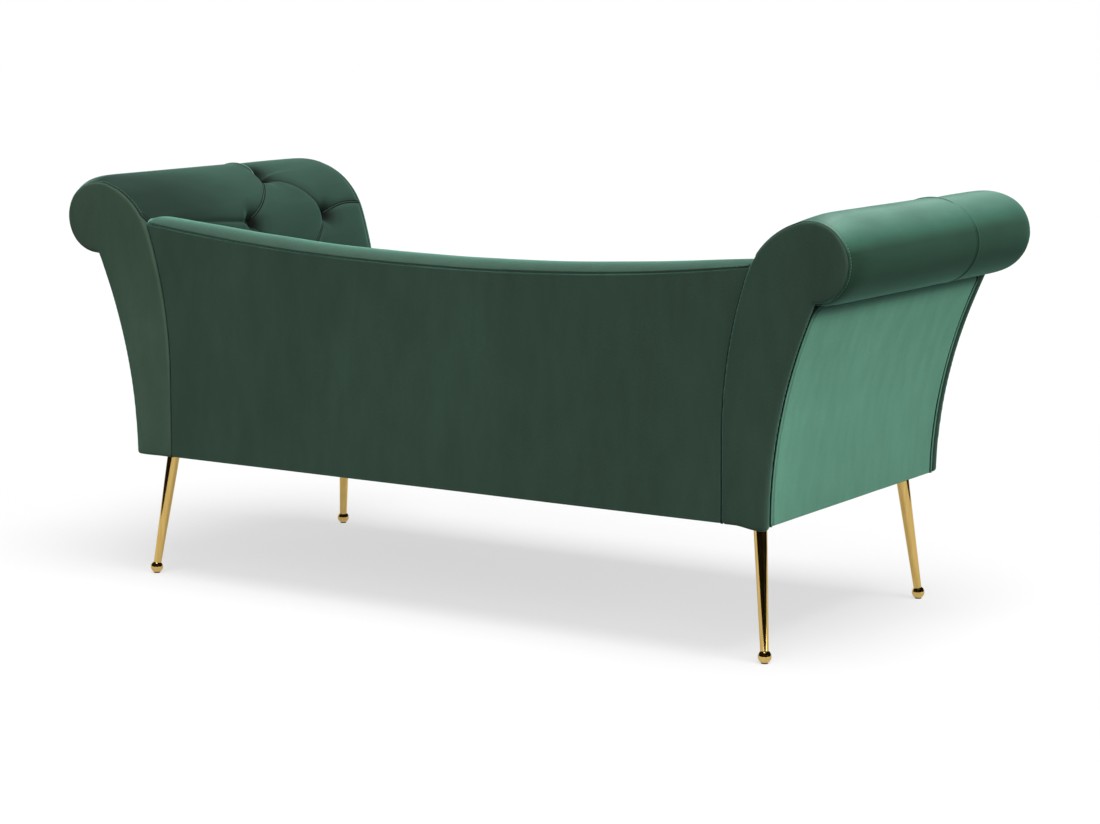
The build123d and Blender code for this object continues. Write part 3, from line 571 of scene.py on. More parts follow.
def gold():
    """Polished gold plate, with faint streaks along its length from polishing and from painted reflection."""
    material, tree, shader, place = node_tree("polished_gold")
    polish_and_reflection = noise_node(tree, place, 220.0, 3.0, (1, 1, 0.06))
    tone = ramp_node(tree, polish_and_reflection, [(0.3, (0.53, 0.35, 0.10)), (0.7, (0.62, 0.43, 0.15))])
    tree.links.new(tone, shader.inputs["Base Color"])
    shader.inputs["Metallic"].default_value = 1.0
    tree.links.new(range_node(tree, polish_and_reflection, 0.04, 0.09), shader.inputs["Roughness"])
    bump_node(tree, shader, [(polish_and_reflection, 0.04, 0.0004)])
    return material


def steel():
    """Zinc-plated steel, mottled and slightly dull."""
    material, tree, shader, place = node_tree("zinc_plate")
    mottle = noise_node(tree, place, 160.0, 4.0)
    tone = ramp_node(tree, mottle, [(0.3, (0.45, 0.46, 0.48)), (0.7, (0.66, 0.67, 0.68))])
    tree.links.new(tone, shader.inputs["Base Color"])
    shader.inputs["Metallic"].default_value = 1.0
    tree.links.new(range_node(tree, mottle, 0.28, 0.45), shader.inputs["Roughness"])
    bump_node(tree, shader, [(mottle, 0.08, 0.0004)])
    return material


def wood():
    """Sawn pine and plywood with grain along the length."""
    material, tree, shader, place = node_tree("frame_pine")
    grain = noise_node(tree, place, 60.0, 5.0, (0.07, 1, 1))
    stops = [(0.25, (0.42, 0.27, 0.14)), (0.55, (0.62, 0.45, 0.26)), (0.8, (0.70, 0.54, 0.35))]
    tone = ramp_node(tree, grain, stops)
    tree.links.new(tone, shader.inputs["Base Color"])
    tree.links.new(range_node(tree, grain, 0.55, 0.8), shader.inputs["Roughness"])
    bump_node(tree, shader, [(grain, 0.3, 0.0006)])
    return material


def board():
    """Brown fibreboard with pressed fibres."""
    material, tree, shader, place = node_tree("liner_fibreboard")
    fibres = noise_node(tree, place, 300.0, 5.0)
    tone = ramp_node(tree, fibres, [(0.3, (0.30, 0.21, 0.13)), (0.7, (0.46, 0.34, 0.22))])
    tree.links.new(tone, shader.inputs["Base Color"])
    tree.links.new(range_node(tree, fibres, 0.75, 0.95), shader.inputs["Roughness"])
    bump_node(tree, shader, [(fibres, 0.25, 0.0005)])
    return material


def cloth(name, dark, light, scale, stretch=(1, 1, 1)):
    """Matt cloth or twine with its fibres."""
    material, tree, shader, place = node_tree(name)
    fibres = noise_node(tree, place, scale, 4.0, stretch)
    tone = ramp_node(tree, fibres, [(0.3, dark), (0.7, light)])
    tree.links.new(tone, shader.inputs["Base Color"])
    tree.links.new(range_node(tree, fibres, 0.8, 0.98), shader.inputs["Roughness"])
    bump_node(tree, shader, [(fibres, 0.35, 0.0005)])
    return material


def plastic():
    """Matt black moulded plastic."""
    material, tree, shader, place = node_tree("glide_plastic")
    texture = noise_node(tree, place, 700.0, 2.0)
    tone = ramp_node(tree, texture, [(0.3, (0.022, 0.022, 0.023)), (0.7, (0.035, 0.035, 0.036))])
    tree.links.new(tone, shader.inputs["Base Color"])
    tree.links.new(range_node(tree, texture, 0.5, 0.65), shader.inputs["Roughness"])
    bump_node(tree, shader, [(texture, 0.1, 0.0003)])
    return material


FINISHES = {
    "velvet": velvet("green_velvet", (0.042, 0.078, 0.055), (0.052, 0.098, 0.070), 0.36),
    "foam": cloth("seat_foam", (0.70, 0.64, 0.46), (0.80, 0.75, 0.58), 420.0),
    "frame_wood": wood(),
    "liner_board": board(),
    "webbing": cloth("webbing_cloth", (0.05, 0.05, 0.055), (0.13, 0.13, 0.14), 500.0),
    "dust_cloth": cloth("dust_cloth", (0.018, 0.018, 0.019), (0.034, 0.034, 0.036), 800.0),
    "twine": cloth("waxed_twine", (0.50, 0.45, 0.34), (0.66, 0.62, 0.50), 900.0, (1, 1, 0.2)),
    "gold_metal": gold(),
    "steel": steel(),
    "glide_plastic": plastic(),
}
VELVET = FINISHES["velvet"]
# lighter copy of the velvet with painted light, for the end panels and their piping
VELVET_LIT_PANEL = velvet(
    "green_velvet_lit_panel", (0.197, 0.492, 0.340), (0.230, 0.570, 0.396), 0.80, 0.3, painted_tone=panel_painted_shade
)
# copies of the velvet for the wraps, coloured with painted highlight and painted shade round the rolls
VELVET_WRAP = {
    arm: velvet(f"green_velvet_{arm}_wrap", grey(0.88), grey(1.10), 0.40, 0.3, (1, 0.25, 1), roll_painted_light(arm))
    for arm in ("left", "right")
}
# lighter copy of the velvet with a painted highlight, for the lip along the seam
VELVET_LIP_HIGHLIGHT = velvet("green_velvet_lip_highlight", (0.190, 0.340, 0.270), (0.230, 0.400, 0.320), 0.40)
# mid-tone copy of the velvet with a painted highlight, for the folds in the pleats
VELVET_FOLD_HIGHLIGHT = velvet("green_velvet_fold_highlight", (0.080, 0.145, 0.112), (0.100, 0.175, 0.138), 0.40, 0.3)
# near-black copy of the velvet: painted shade for the pleats, the grooves and the seams
VELVET_PAINTED_SHADE = velvet("green_velvet_painted_shade", (0.006, 0.012, 0.009), (0.009, 0.018, 0.013), 0.40, 0.0)
# copy of the velvet with painted shade towards the left arm
VELVET_BAND = velvet("green_velvet_band", (0.042, 0.078, 0.055), (0.052, 0.098, 0.070), 0.36, painted_tone=band_painted_shade)
# the left facings get a lighter copy of the velvet with painted light, and painted shade towards their rolls
VELVET_FACING = {
    "left": velvet("green_velvet_facing_lit", (0.072, 0.122, 0.082), (0.088, 0.152, 0.104), 0.36, painted_tone=facing_painted_shade),
    "right": VELVET,
}
SEWING_THREAD = cloth("sewing_thread", (0.080, 0.190, 0.135), (0.120, 0.260, 0.190), 900.0)


def finish_solids():
    """Gives every solid of the frame its finish."""
    for part in frame["record"]["subparts"]:
        materials = frame["nodes"][part["node"]].data.materials
        materials.clear()
        materials.append(FINISHES[part["material_slot"]])


# Buttoned wrap of an arm

WRAP_SWELL = 0.004            # fullness of the velvet over its padding
SEAM_DRIFT = -0.027           # forward drift of the seam from the top button to the tuck
DRIFT_REACH = 0.12            # how far beside the seam the cover drifts with it
SEAM_DEPTH = 0.0036
SEAM_WIDTH = 0.0013
SEAM_LIP = 0.0007             # raised cloth along both sides of the seam
SEAM_LIP_AWAY = 0.0036
SEAM_LIP_WIDTH = 0.0018
HOLLOW_DEPTH = 0.015          # fall of the cover in front of the seam, above the top button
HOLLOW_WIDTH = 0.030
HOLLOW_REACH = 0.048
OVERLAP = 0.0010              # rise of the cover behind it
OVERLAP_WIDTH = 0.012
DIAMOND_SWELL = 0.010         # swell between the buttons, and how far it spreads along the runs and in Y
DIAMOND_RUN = 0.062
DIAMOND_WIDE = 0.090
PLEAT_DEPTH = 0.0075
PLEAT_WIDTH = 0.0048
PLEAT_ROUND = 0.0018          # how round the bottom of a pleat is
EDGE_PROUD = 0.0003           # edge of the wrap over a facing's edge
EDGE_REACH = 0.0090           # how soon the wrap fills out behind its flange
SHOULDER_REACH = 0.050        # slower over the shoulder, at the rear
FLANGE = 0.0055               # flat of the seam between its edge and its stitches
FLANGE_RISE = 0.0010
OVERHANG = FACE_Y - WRAP_END - 0.0045                 # how far the wrap's edge laps over a facing
STITCH_DEPTH = 0.0011         # how deep and how wide the stitches draw the cover in
STITCH_WIDTH = 0.0010
PUCKER = 0.0006               # gathers behind the stitches of the roll
PUCKER_STEP = 0.0095
PUCKER_REACH = 0.007
ROLL_FLAT = 0.006             # how much flatter the roll's underside is
ROLL_DRAW = 0.0050            # how far the facings of the roll are drawn in, most on its outside

# Pleats of the cover: start, end, and bow of the line sideways
PLEATS = [
    (REAR_TUFT, TOP_TUFT, -0.008),
    (TOP_TUFT, FRONT_TUFT, 0.016),
    (FRONT_TUFT, LOW_TUFT, 0.008),
    (LOW_TUFT, REAR_TUFT, 0.004),
    (FRONT_TUFT, (0.016, -WRAP_END), 0.008),
    (REAR_TUFT, (0.012, WRAP_END), -0.004),
    (LOW_TUFT, (WRAP_LOW, TUFT_Y), 0.0),
]


def grid_lines(stops, count):
    """Grid lines between (place, closeness) stops, closer together where the closeness is greater."""
    spans = list(zip(stops, stops[1:]))
    whole = sum((end - start) * close for (start, close), (end, _) in spans)
    lines = []
    for number in range(count + 1):
        along = whole * number / count
        for (start, close), (end, _) in spans:
            if along <= (end - start) * close + 1e-9:
                break
            along -= (end - start) * close
        lines.append(min(start + along / close, end))
    return lines


def seam_shift(run, y):
    """How far the cover's lines are carried forward with the seam over the roll."""
    along = smooth_step(run, TUFT_ROW, WRAP_HIGH)
    near = exp(-((y - TUFT_Y) / DRIFT_REACH)**2) * (1 - (y / WRAP_END)**8)
    return SEAM_DRIFT * along * near


def pleat_line(pleat, share, across):
    """Run and Y at a share of the way along a pleat, some way across it."""
    (start_run, start_y), (end_run, end_y), bow = pleat
    along_run, along_y = end_run - start_run, end_y - start_y
    length = hypot(along_run, along_y)
    side = across + bow * sin(pi * share)
    run = start_run + along_run * share + side * -along_y / length
    return run, start_y + along_y * share + side * along_run / length


def pleat_depth(run, y, pleat):
    """Depth of the cover's groove along one pleat."""
    (start_run, start_y), (end_run, end_y), bow = pleat
    along_run, along_y = end_run - start_run, end_y - start_y
    length = hypot(along_run, along_y)
    share = ((run - start_run) * along_run + (y - start_y) * along_y) / length**2
    if not 0 < share < 1.05:
        return 0.0
    bend = bow * sin(pi * min(share, 1))
    across = ((y - start_y) * along_run - (run - start_run) * along_y) / length - bend
    deepest = PLEAT_DEPTH * (0.7 + 0.3 * abs(2 * share - 1))
    return deepest * exp((PLEAT_ROUND - hypot(across, PLEAT_ROUND)) / PLEAT_WIDTH)


def pit_depth(run, y):
    """Depth of a button's pit some way from its middle: steep behind the button, gentle in front of it."""
    away = hypot(run, y)
    slope = PIT_SLOPE * (1 - PIT_SKEW * y / max(away, 1e-6))
    return PIT_DEPTH * exp(-max(away - PIT_FLOOR, 0) / slope)


def seam_lift(run, from_seam):
    """Step, lips and groove of the seam that runs from the top button over the roll."""
    if run <= TUFT_ROW:
        return 0.0
    start = smooth_step(run, TUFT_ROW, TUFT_ROW + 0.012)
    fade = start * exp(-((run - TUFT_ROW) / HOLLOW_REACH)**2)
    if from_seam < 0:
        step = -HOLLOW_DEPTH * exp(from_seam / HOLLOW_WIDTH)
    else:
        step = OVERLAP * exp(-from_seam / OVERLAP_WIDTH)
    lips = SEAM_LIP * start * exp(-((abs(from_seam) - SEAM_LIP_AWAY) / SEAM_LIP_WIDTH)**2)
    return fade * step + lips - SEAM_DEPTH * exp(-(from_seam / SEAM_WIDTH)**2)


def roll_draw(flat):
    """How far the edge of a facing is drawn in at a place on its outline: most on the outside of the roll."""
    away = flat - ROLL
    angle = degrees(atan2(away.y, away.x))
    spread = 0.6 + 0.4 * max(0, cos(radians(angle - 5)))
    near = 1 - smooth_step(away.length, ROLL_RADIUS + 0.005, ROLL_RADIUS + 0.050)
    return ROLL_DRAW * spread * near * (1 - smooth_step(angle, 75, 115))


def overhang(run, line):
    """How far the wrap is stretched over its facings, except where the back stands behind it."""
    reach = OVERHANG if line < 0 else OVERHANG * smooth_step(run, 0.018, 0.040)
    return copysign(reach * smooth_step(abs(line), WRAP_END - 0.050, WRAP_END), line)


def wrap_edge(run):
    """Padding at the very edge of the wrap, over the edge of a facing."""
    outline = wrap_place(run, 0, 0)
    return EDGE_PROUD - roll_draw(Vector((outline.x, outline.z)))


def wrap_padding(run, line, y):
    """Padding of the velvet over the facings' outline, with its pits, pleats, seam and sewn ends."""
    from_middle = hypot(run / DIAMOND_RUN, (y - TUFT_Y) / DIAMOND_WIDE)
    lift = WRAP_SWELL + DIAMOND_SWELL * exp(-from_middle**2)
    lift -= max(pleat_depth(run, y, pleat) for pleat in PLEATS)
    lift -= sum(pit_depth(run - tuft_run, y - tuft_y) for tuft_run, tuft_y in TUFTS)
    lift = max(lift, -PIT_DEPTH) + seam_lift(run, line - TUFT_Y)
    lift -= ROLL_FLAT * smooth_step(run, FLAT_START, FLAT_FULL)
    inside = max(WRAP_END - abs(line), 0)
    sewn = max(inside - FLANGE, 0)
    gathers = PUCKER * sin(2 * pi * run / PUCKER_STEP)
    lift += gathers * exp(-sewn / PUCKER_REACH) * smooth_step(run, 0.05, 0.12)
    edge = wrap_edge(run) + FLANGE_RISE * rim_height(inside, FLANGE)
    shoulder = smooth_step(run, 0.020, 0.045) * (1 - smooth_step(run, 0.100, 0.165))
    reach = EDGE_REACH + (SHOULDER_REACH * shoulder if line > 0 else 0)
    padding = edge + (WRAP_CROWN + lift - edge) * (1 - exp(-sewn / reach))
    return padding - STITCH_DEPTH * exp(-((inside - FLANGE) / STITCH_WIDTH)**2)


def arm_wrap(side, arm):
    """Velvet wrap with its foam, from the seat over the shoulder and the roll to its tuck."""
    bm = bmesh.new()
    runs = grid_lines([(WRAP_LOW, 1), (-0.125, 4), (0.140, 2), (WRAP_HIGH, 1)], 280)
    dense_rear, dense_front = TUFT_Y + 0.145, TUFT_Y - 0.145
    places = grid_lines([
        (-WRAP_END, 5), (0.018 - WRAP_END, 1), (dense_front, 3), (TUFT_Y - 0.006, 5.5),
        (TUFT_Y + 0.006, 3), (dense_rear, 1), (WRAP_END - 0.018, 5), (WRAP_END, 1),
    ], 300)
    bmesh.ops.create_grid(bm, x_segments=len(runs) - 1, y_segments=len(places) - 1, size=0.5)
    edges = [edge for edge in bm.edges if all(abs(vert.co.y) > 0.4999 for vert in edge.verts)]
    depth = {}
    for inner in ("lining", "foam"):
        walls = bmesh.ops.extrude_edge_only(bm, edges=edges)["geom"]
        edges = [item for item in walls if isinstance(item, bmesh.types.BMEdge)]
        depth.update({vert: inner for edge in edges for vert in edge.verts})
    for vert in bm.verts:
        run = runs[round((vert.co.x + 0.5) * (len(runs) - 1))]
        line = places[round((vert.co.y + 0.5) * (len(places) - 1))]
        if vert not in depth:
            y = line + seam_shift(run, line)
            vert.co = wrap_place(run, y + overhang(run, line), wrap_padding(run, line, y))
        else:
            padding = wrap_edge(run) - EDGE_PROUD if depth[vert] == "lining" else WRAP_CROWN - WRAP_FOAM
            vert.co = wrap_place(run, line, padding)
    bmesh.ops.bridge_loops(bm, edges=edges)
    bmesh.ops.holes_fill(bm, edges=bm.edges[:], sides=0)
    for vert in bm.verts:
        vert.co.x += slack(vert.co, depth=0.0007, scale=9.0)
    set_arm(bm, side)
    solids = [f"{arm}_arm_foam", f"{arm}_arm_cover"]
    return finish_piece(f"{arm}_arm_velvet_wrap", bm, VELVET_WRAP[arm], solids)


PLEAT_SHADE = 0.0034          # half width of the strip of painted shade in a pleat, and of the fold with a painted highlight that lies in it
PLEAT_FOLD = 0.0008
PLEAT_RISE = 0.0018
LIP_WIDE = 0.0024             # lip of the cover along the seam, behind it
LIP_RISE = 0.0020
STRIP_CORNER = 0.0005         # round corners of the narrow strips in pleats and seams


def arm_pleats(side, arm):
    """Strips of painted shade in the pleats between the buttons, and the lighter folds of the cover in them,
    with a painted highlight.
    """
    for name, half, rise, material in (
        ("pleats", PLEAT_SHADE, PLEAT_RISE, VELVET_PAINTED_SHADE),
        ("folds", PLEAT_FOLD, PLEAT_RISE + 0.0010, VELVET_FOLD_HIGHLIGHT),
    ):
        bm = bmesh.new()
        for pleat in PLEATS[:5]:
            (start_run, start_y), (end_run, end_y), _ = pleat
            length = hypot(end_run - start_run, end_y - start_y)
            made = seam_strip(90, 10, length, 2 * half, half, rise)

            def place(x, y, z):
                share = 0.13 + 0.84 * x / length
                side_run, side_y = pleat_line(pleat, share, y - half)
                padding = wrap_padding(side_run, side_y, side_y) + z - 0.0006
                return wrap_place(side_run, side_y + overhang(side_run, side_y), padding)

            moved(made, place)
            add_form(bm, made)
        set_arm(bm, side)
        finish_piece(f"{arm}_arm_velvet_{name}", bm, material, [])


def arm_seam_lip(side, arm):
    """Lip of the cover that laps over the seam from the top button to the crest, lighter with a painted
    highlight.
    """
    length = SHOULDER_RUN + 0.030 - TUFT_ROW
    bm = seam_strip(80, 10, length, LIP_WIDE, LIP_WIDE / 2, LIP_RISE)

    def place(x, y, z):
        run = TUFT_ROW + 0.008 + x
        line = TUFT_Y + 0.0022 + LIP_WIDE / 2
        at_y = line + seam_shift(run, line)
        padding = wrap_padding(run, line, at_y) + z - 0.0005
        return wrap_place(run, at_y + y - LIP_WIDE / 2, padding)

    moved(bm, place)
    set_arm(bm, side)
    return finish_piece(f"{arm}_arm_velvet_lip", bm, VELVET_LIP_HIGHLIGHT, [])


def arm_buttons(side, arm):
    """Covered buttons, gathered towards their rims, at the foot of each pit."""
    bm = bmesh.new()
    for run, y in TUFTS:
        made = bmesh.new()
        rim = made.verts.new((BUTTON_RADIUS - 0.001, 0, 0))
        low = arc_to(made, rim, (BUTTON_RADIUS - BUTTON_EDGE, BUTTON_EDGE), 110, 0.0008)
        arc_through(made, low, (0.6 * BUTTON_RADIUS, 0.0056), (0, BUTTON_HIGH), 0.0012)
        moved(made, lambda x, y, z: Vector((x, 0, y)))
        bmesh.ops.spin(
            made, geom=made.verts[:] + made.edges[:], cent=(0, 0, 0), axis=(0, 0, 1),
            angle=2 * pi, steps=40, use_merge=True,
        )
        bmesh.ops.remove_doubles(made, verts=made.verts[:], dist=1e-6)
        bmesh.ops.holes_fill(made, edges=made.edges[:], sides=0)
        for vert in made.verts:
            out = hypot(vert.co.x, vert.co.y) / BUTTON_RADIUS
            turn = atan2(vert.co.y, vert.co.x)
            vert.co.z += 0.0003 * out**3 * cos(BUTTON_GATHERS * turn)
        foot = wrap_place(run, y, WRAP_CROWN - PIT_DEPTH + 0.0010)
        out = (wrap_place(run, y, 1) - wrap_place(run, y, 0)).normalized()
        turn = out.to_track_quat("Z", "Y").to_matrix().to_4x4()
        bmesh.ops.transform(made, matrix=Matrix.Translation(foot) @ turn, verts=made.verts[:])
        add_form(bm, made)
    set_arm(bm, side)
    return finish_piece(f"{arm}_arm_velvet_buttons", bm, VELVET_WRAP[arm], [f"{arm}_arm_buttons"])


STITCH_STEP = 0.0056
STITCH_LONG = 0.0017          # half length and half thickness of a stitch
STITCH_THICK = 0.0007


def arm_stitches(side, arm):
    """Stitches along the flanges of the wrap's sewn ends."""
    bm = bmesh.new()
    for end, start in ((1, 0.045), (-1, WRAP_LOW + 0.03)):
        line = end * (WRAP_END - FLANGE)
        count = int((WRAP_HIGH - 0.02 - start) / STITCH_STEP)
        for number in range(count):
            run = start + STITCH_STEP * number
            padding = wrap_padding(run, line, line) + STITCH_THICK
            place, ahead, over = (
                wrap_place(run + step, line + overhang(run, line), padding + rise)
                for step, rise in ((0, 0), (0.001, 0), (0, 0.001))
            )
            along, out = (ahead - place).normalized(), (over - place).normalized()
            turn = Matrix((along, out.cross(along), out)).transposed().to_4x4()
            size = Matrix.Diagonal((STITCH_LONG, STITCH_THICK, STITCH_THICK, 1))
            stitch = Matrix.Translation(place) @ turn @ size
            bmesh.ops.create_icosphere(bm, subdivisions=1, radius=1, matrix=stitch)
    set_arm(bm, side)
    return finish_piece(f"{arm}_arm_stitches", bm, SEWING_THREAD, [])


# Facings of an arm

FACING_RIM = 0.0030
FACING_CORNER = 0.006
FACING_CROWN = 0.0015         # fullness of a facing, and how far in from its rim it fills out
FACING_REACH = 0.02
FACING_VOXEL = 0.0023
FRONT_BULGE = 0.004           # fullness of the front facings over the rolls
FRONT_THICK = 0.003           # how much thicker the front facings are
LEG_DIP = 0.0055              # how far the rear right facing's lower corner is drawn down to its leg


def scroll_outline(bm, inset, step):
    """Closed outline of a facing, in X and Z, drawn in a little from the arm's own."""
    corner = FACING_CORNER
    roll_end, sweep_start = roll_meets_sweep()
    foot_in = INNER_X + inset
    vert = bm.verts.new((foot_in, HEM + corner, 0))
    vert = line_to(bm, vert, (foot_in, SWEEP.y), step)
    vert = arc_to(bm, vert, SWEEP, -SWEEP_TURN, step)
    vert = arc_to(bm, vert, SHOULDER, SHOULDER_END - 180 + SWEEP_TURN, step)
    vert = arc_to(bm, vert, ROLL, roll_end - SHOULDER_END, step)
    sweep_end = 180 - degrees((HEM + corner - UNDERSIDE) / OUTER_SWEEP)
    vert = arc_to(bm, vert, OUTER, sweep_end - sweep_start, step)
    vert = arc_to(bm, vert, (vert.co.x - corner, vert.co.y), -90, step)
    vert = line_to(bm, vert, (foot_in + corner, HEM), step)
    arc_to(bm, vert, (foot_in + corner, HEM + corner), -90, step)


def arm_facing(side, end, arm):
    """Padded scroll facing with a rolled rim, drawn in round the roll and lightly crowned."""
    bm = bmesh.new()
    scroll_outline(bm, 0.0006, 0.0025)
    outline = [vert.co.copy() for vert in bm.verts]
    tree = KDTree(len(outline))
    for number, place in enumerate(outline):
        tree.insert(place, number)
    tree.balance()
    thick = FACE_Y - WRAP_END - SEAM_GAP
    drawn_out(bm, thick, 1)
    for level, offset in ((thick, FACING_RIM), (0, 0.002)):
        rim = [edge for edge in bm.edges if all(abs(vert.co.z - level) < 1e-5 for vert in edge.verts)]
        bmesh.ops.bevel(
            bm, geom=rim, offset=offset, segments=5, profile=0.5, affect="EDGES", material=-1,
        )
    bm = evenly_meshed(bm, FACING_VOXEL)
    for vert in bm.verts:
        x, z, out = vert.co
        depth = tree.find((x, z, 0))[2]
        flat = Vector((x, z))
        flat += (ROLL - flat).normalized() * roll_draw(flat) * exp(-depth / FACING_REACH)
        swell = FACING_CROWN + (FRONT_BULGE * smooth_step(z, ROLL.y - 0.16, ROLL.y) if end < 0 else 0)
        if out > thick / 2:
            out += swell * (1 - exp(-depth / FACING_REACH)) - FACING_CROWN
        if end < 0:
            out *= 1 + FRONT_THICK / thick
        dip = LEG_DIP if (side, end) == (-1, 1) else LEG_DIP / 6
        flat.y -= dip * smooth_step(x, 0.600, 0.645) * (1 - smooth_step(z, HEM, HEM + 0.040))
        vert.co = (flat.x, WRAP_END + SEAM_GAP + out, flat.y)
    set_arm(bm, side, end)
    for vert in bm.verts:
        vert.co.y += slack(vert.co, depth=0.0005, scale=14.0)
    bmesh.ops.smooth_vert(
        bm, verts=bm.verts[:], factor=0.5, use_axis_x=True, use_axis_y=True, use_axis_z=True
    )
    face = "rear" if end > 0 else "front"
    solid = f"{arm}_arm_{face}_facing"
    return finish_piece(f"{arm}_arm_{face}_velvet", bm, VELVET_FACING[arm], [solid])


# Piping

PIPING = 0.0014
GROOVE = 0.0066               # dark groove that a piping lies in, a cord of painted shade
BORDER = 0.006                # width left for it beside the end panel


def piping_ring(bm, place, turn, radius):
    """Round end of a piping cord, ready to be drawn along."""
    made = bmesh.ops.create_circle(bm, segments=10, radius=radius)["verts"]
    bmesh.ops.rotate(bm, verts=made, cent=(0, 0, 0), matrix=turn)
    bmesh.ops.translate(bm, verts=made, vec=place)
    return made + list({edge for vert in made for edge in vert.link_edges})


def carried(bm, geom, centre, axis, angle, steps, along=(0, 0, 0)):
    """Draws the end of a cord on, straight or round a centre; gives its new end."""
    return bmesh.ops.spin(
        bm, geom=geom, cent=centre, axis=axis, dvec=along, angle=angle, steps=steps
    )["geom_last"]


# Outside end panel

PANEL_CORNER = 0.014          # round corners of the panel at its top and at its foot
PANEL_FOOT = 0.004
PANEL_TOP = 0.3665            # length of the panel, up along the outer sweep
PANEL_RIM = 0.003
PANEL_CROWN = 0.002


def sweep_place(along, y, out):
    """Point on the left arm's outer side, a length up along it and some way out from the panel's back."""
    angle = 180 - degrees(along / OUTER_SWEEP)
    flat = on_circle(OUTER, OUTER_SWEEP + END_PANEL - out, angle)
    return Vector((flat.x, y, flat.y))


def rounded_corner(x, y, corner):
    """Moves a point that is near a square corner to the same place beside a round one."""
    if x >= corner or y >= corner:
        return x, y
    from_x, from_y = corner - x, corner - y
    shrink = max(from_x, from_y) / max(hypot(from_x, from_y), 1e-9)
    return corner - from_x * shrink, corner - from_y * shrink


def bordered(share, length, border, lines):
    """Coordinate at a share of a length, with some of the lines kept for the borders at both ends."""
    if share > 0.5:
        return length - bordered(1 - share, length, border, lines)
    if share < lines:
        return border * share / lines
    return border + (length / 2 - border) * (share - lines) / (0.5 - lines)


def rim_height(inside, rim):
    """Height of a rolled rim, from 0 at its edge to 1."""
    left = 1 - min(max(inside / rim, 0), 1)
    return sqrt(1 - left * left)


def pillow_panel(columns, rows, width, height, rim, corners, thick, crown=0):
    """Four-sided panel with rolled rims and round corners: X and Y run across it, Z is its height."""
    bm = bmesh.new()
    bmesh.ops.create_grid(bm, x_segments=columns, y_segments=rows, size=0.5)
    for vert in bm.verts:
        x = bordered(vert.co.x + 0.5, width, 2 * rim, 0.14)
        y = bordered(vert.co.y + 0.5, height, 2 * rim, 0.14)
        right, high = x > width / 2, y > height / 2
        corner = corners[1 if high else 0]
        x, y = rounded_corner(min(x, width - x), min(y, height - y), corner)
        swell = 1 - exp(-corner_inside(x, y, corner) / 0.05)
        lift = (thick + crown * swell) * rim_height(corner_inside(x, y, corner), rim)
        vert.co = (width - x if right else x, height - y if high else y, lift)
    lining = bmesh.ops.duplicate(bm, geom=bm.verts[:] + bm.edges[:] + bm.faces[:])["geom"]
    for vert in [item for item in lining if isinstance(item, bmesh.types.BMVert)]:
        vert.co.z = 0
    bmesh.ops.remove_doubles(bm, verts=bm.verts[:], dist=1e-5)
    return bm


def seam_strip(columns, rows, length, width, rim, thick):
    """Narrow padded strip that lies in a pleat or a seam."""
    return pillow_panel(columns, rows, length, width, rim, (STRIP_CORNER, STRIP_CORNER), thick)


def corner_inside(x, y, corner):
    """Distance in from the nearest edge of a panel with a round corner."""
    if x < corner and y < corner:
        return corner - hypot(corner - x, corner - y)
    return min(x, y)


def arm_end_panel(side, arm):
    """Outside panel, bent along the outer sweep and tucked under the roll."""
    long, wide = PANEL_TOP + HEM_DROP, 2 * (PANEL_END - BORDER)
    bm = pillow_panel(84, 96, wide, long, PANEL_RIM, (PANEL_FOOT, PANEL_CORNER), END_PANEL, PANEL_CROWN)
    moved(bm, lambda x, y, z: sweep_place(y - HEM_DROP, x - wide / 2, z))
    set_arm(bm, side)
    for vert in bm.verts:
        vert.co.x += slack(vert.co, depth=0.0006, scale=12.0)
    solids = [f"{arm}_arm_end_panel"]
    return finish_piece(f"{arm}_arm_end_velvet", bm, VELVET_LIT_PANEL, solids)


def end_cord(side, radius, out):
    """Cord round the end panel: up one side, round its top corners and down the other."""
    bm = bmesh.new()
    y = (PANEL_END - BORDER + WRAP_END) / 2
    corner = PANEL_CORNER + 0.003
    top = PANEL_TOP + 0.002
    foot = 0.0005 - HEM_DROP
    rise = top - corner - foot
    geom = piping_ring(bm, Vector((foot, -y, out)), Matrix.Rotation(pi / 2, 3, "Y"), radius)
    geom = carried(bm, geom, (0, 0, 0), (0, 0, 1), 0, 60, (rise / 60, 0, 0))
    geom = carried(bm, geom, (top - corner, -y + corner, 0), (0, 0, 1), pi / 2, 10)
    geom = carried(bm, geom, (0, 0, 0), (0, 0, 1), 0, 60, (0, 2 * (y - corner) / 60, 0))
    geom = carried(bm, geom, (top - corner, y - corner, 0), (0, 0, 1), pi / 2, 10)
    carried(bm, geom, (0, 0, 0), (0, 0, 1), 0, 60, (-rise / 60, 0, 0))
    bmesh.ops.holes_fill(bm, edges=bm.edges[:], sides=0)
    moved(bm, sweep_place)
    set_arm(bm, side)
    return bm


def arm_welts(side, arm):
    """Piping round the end panel, lighter with painted light, in its dark groove: a cord of painted shade."""
    piping = end_cord(side, PIPING, END_PANEL - 0.0010)
    finish_piece(f"{arm}_arm_end_piping", piping, VELVET_LIT_PANEL, [f"{arm}_arm_welts"])
    groove = end_cord(side, GROOVE, END_PANEL - 0.0015 - GROOVE)
    finish_piece(f"{arm}_arm_end_groove", groove, VELVET_PAINTED_SHADE, [])


# Back and seat

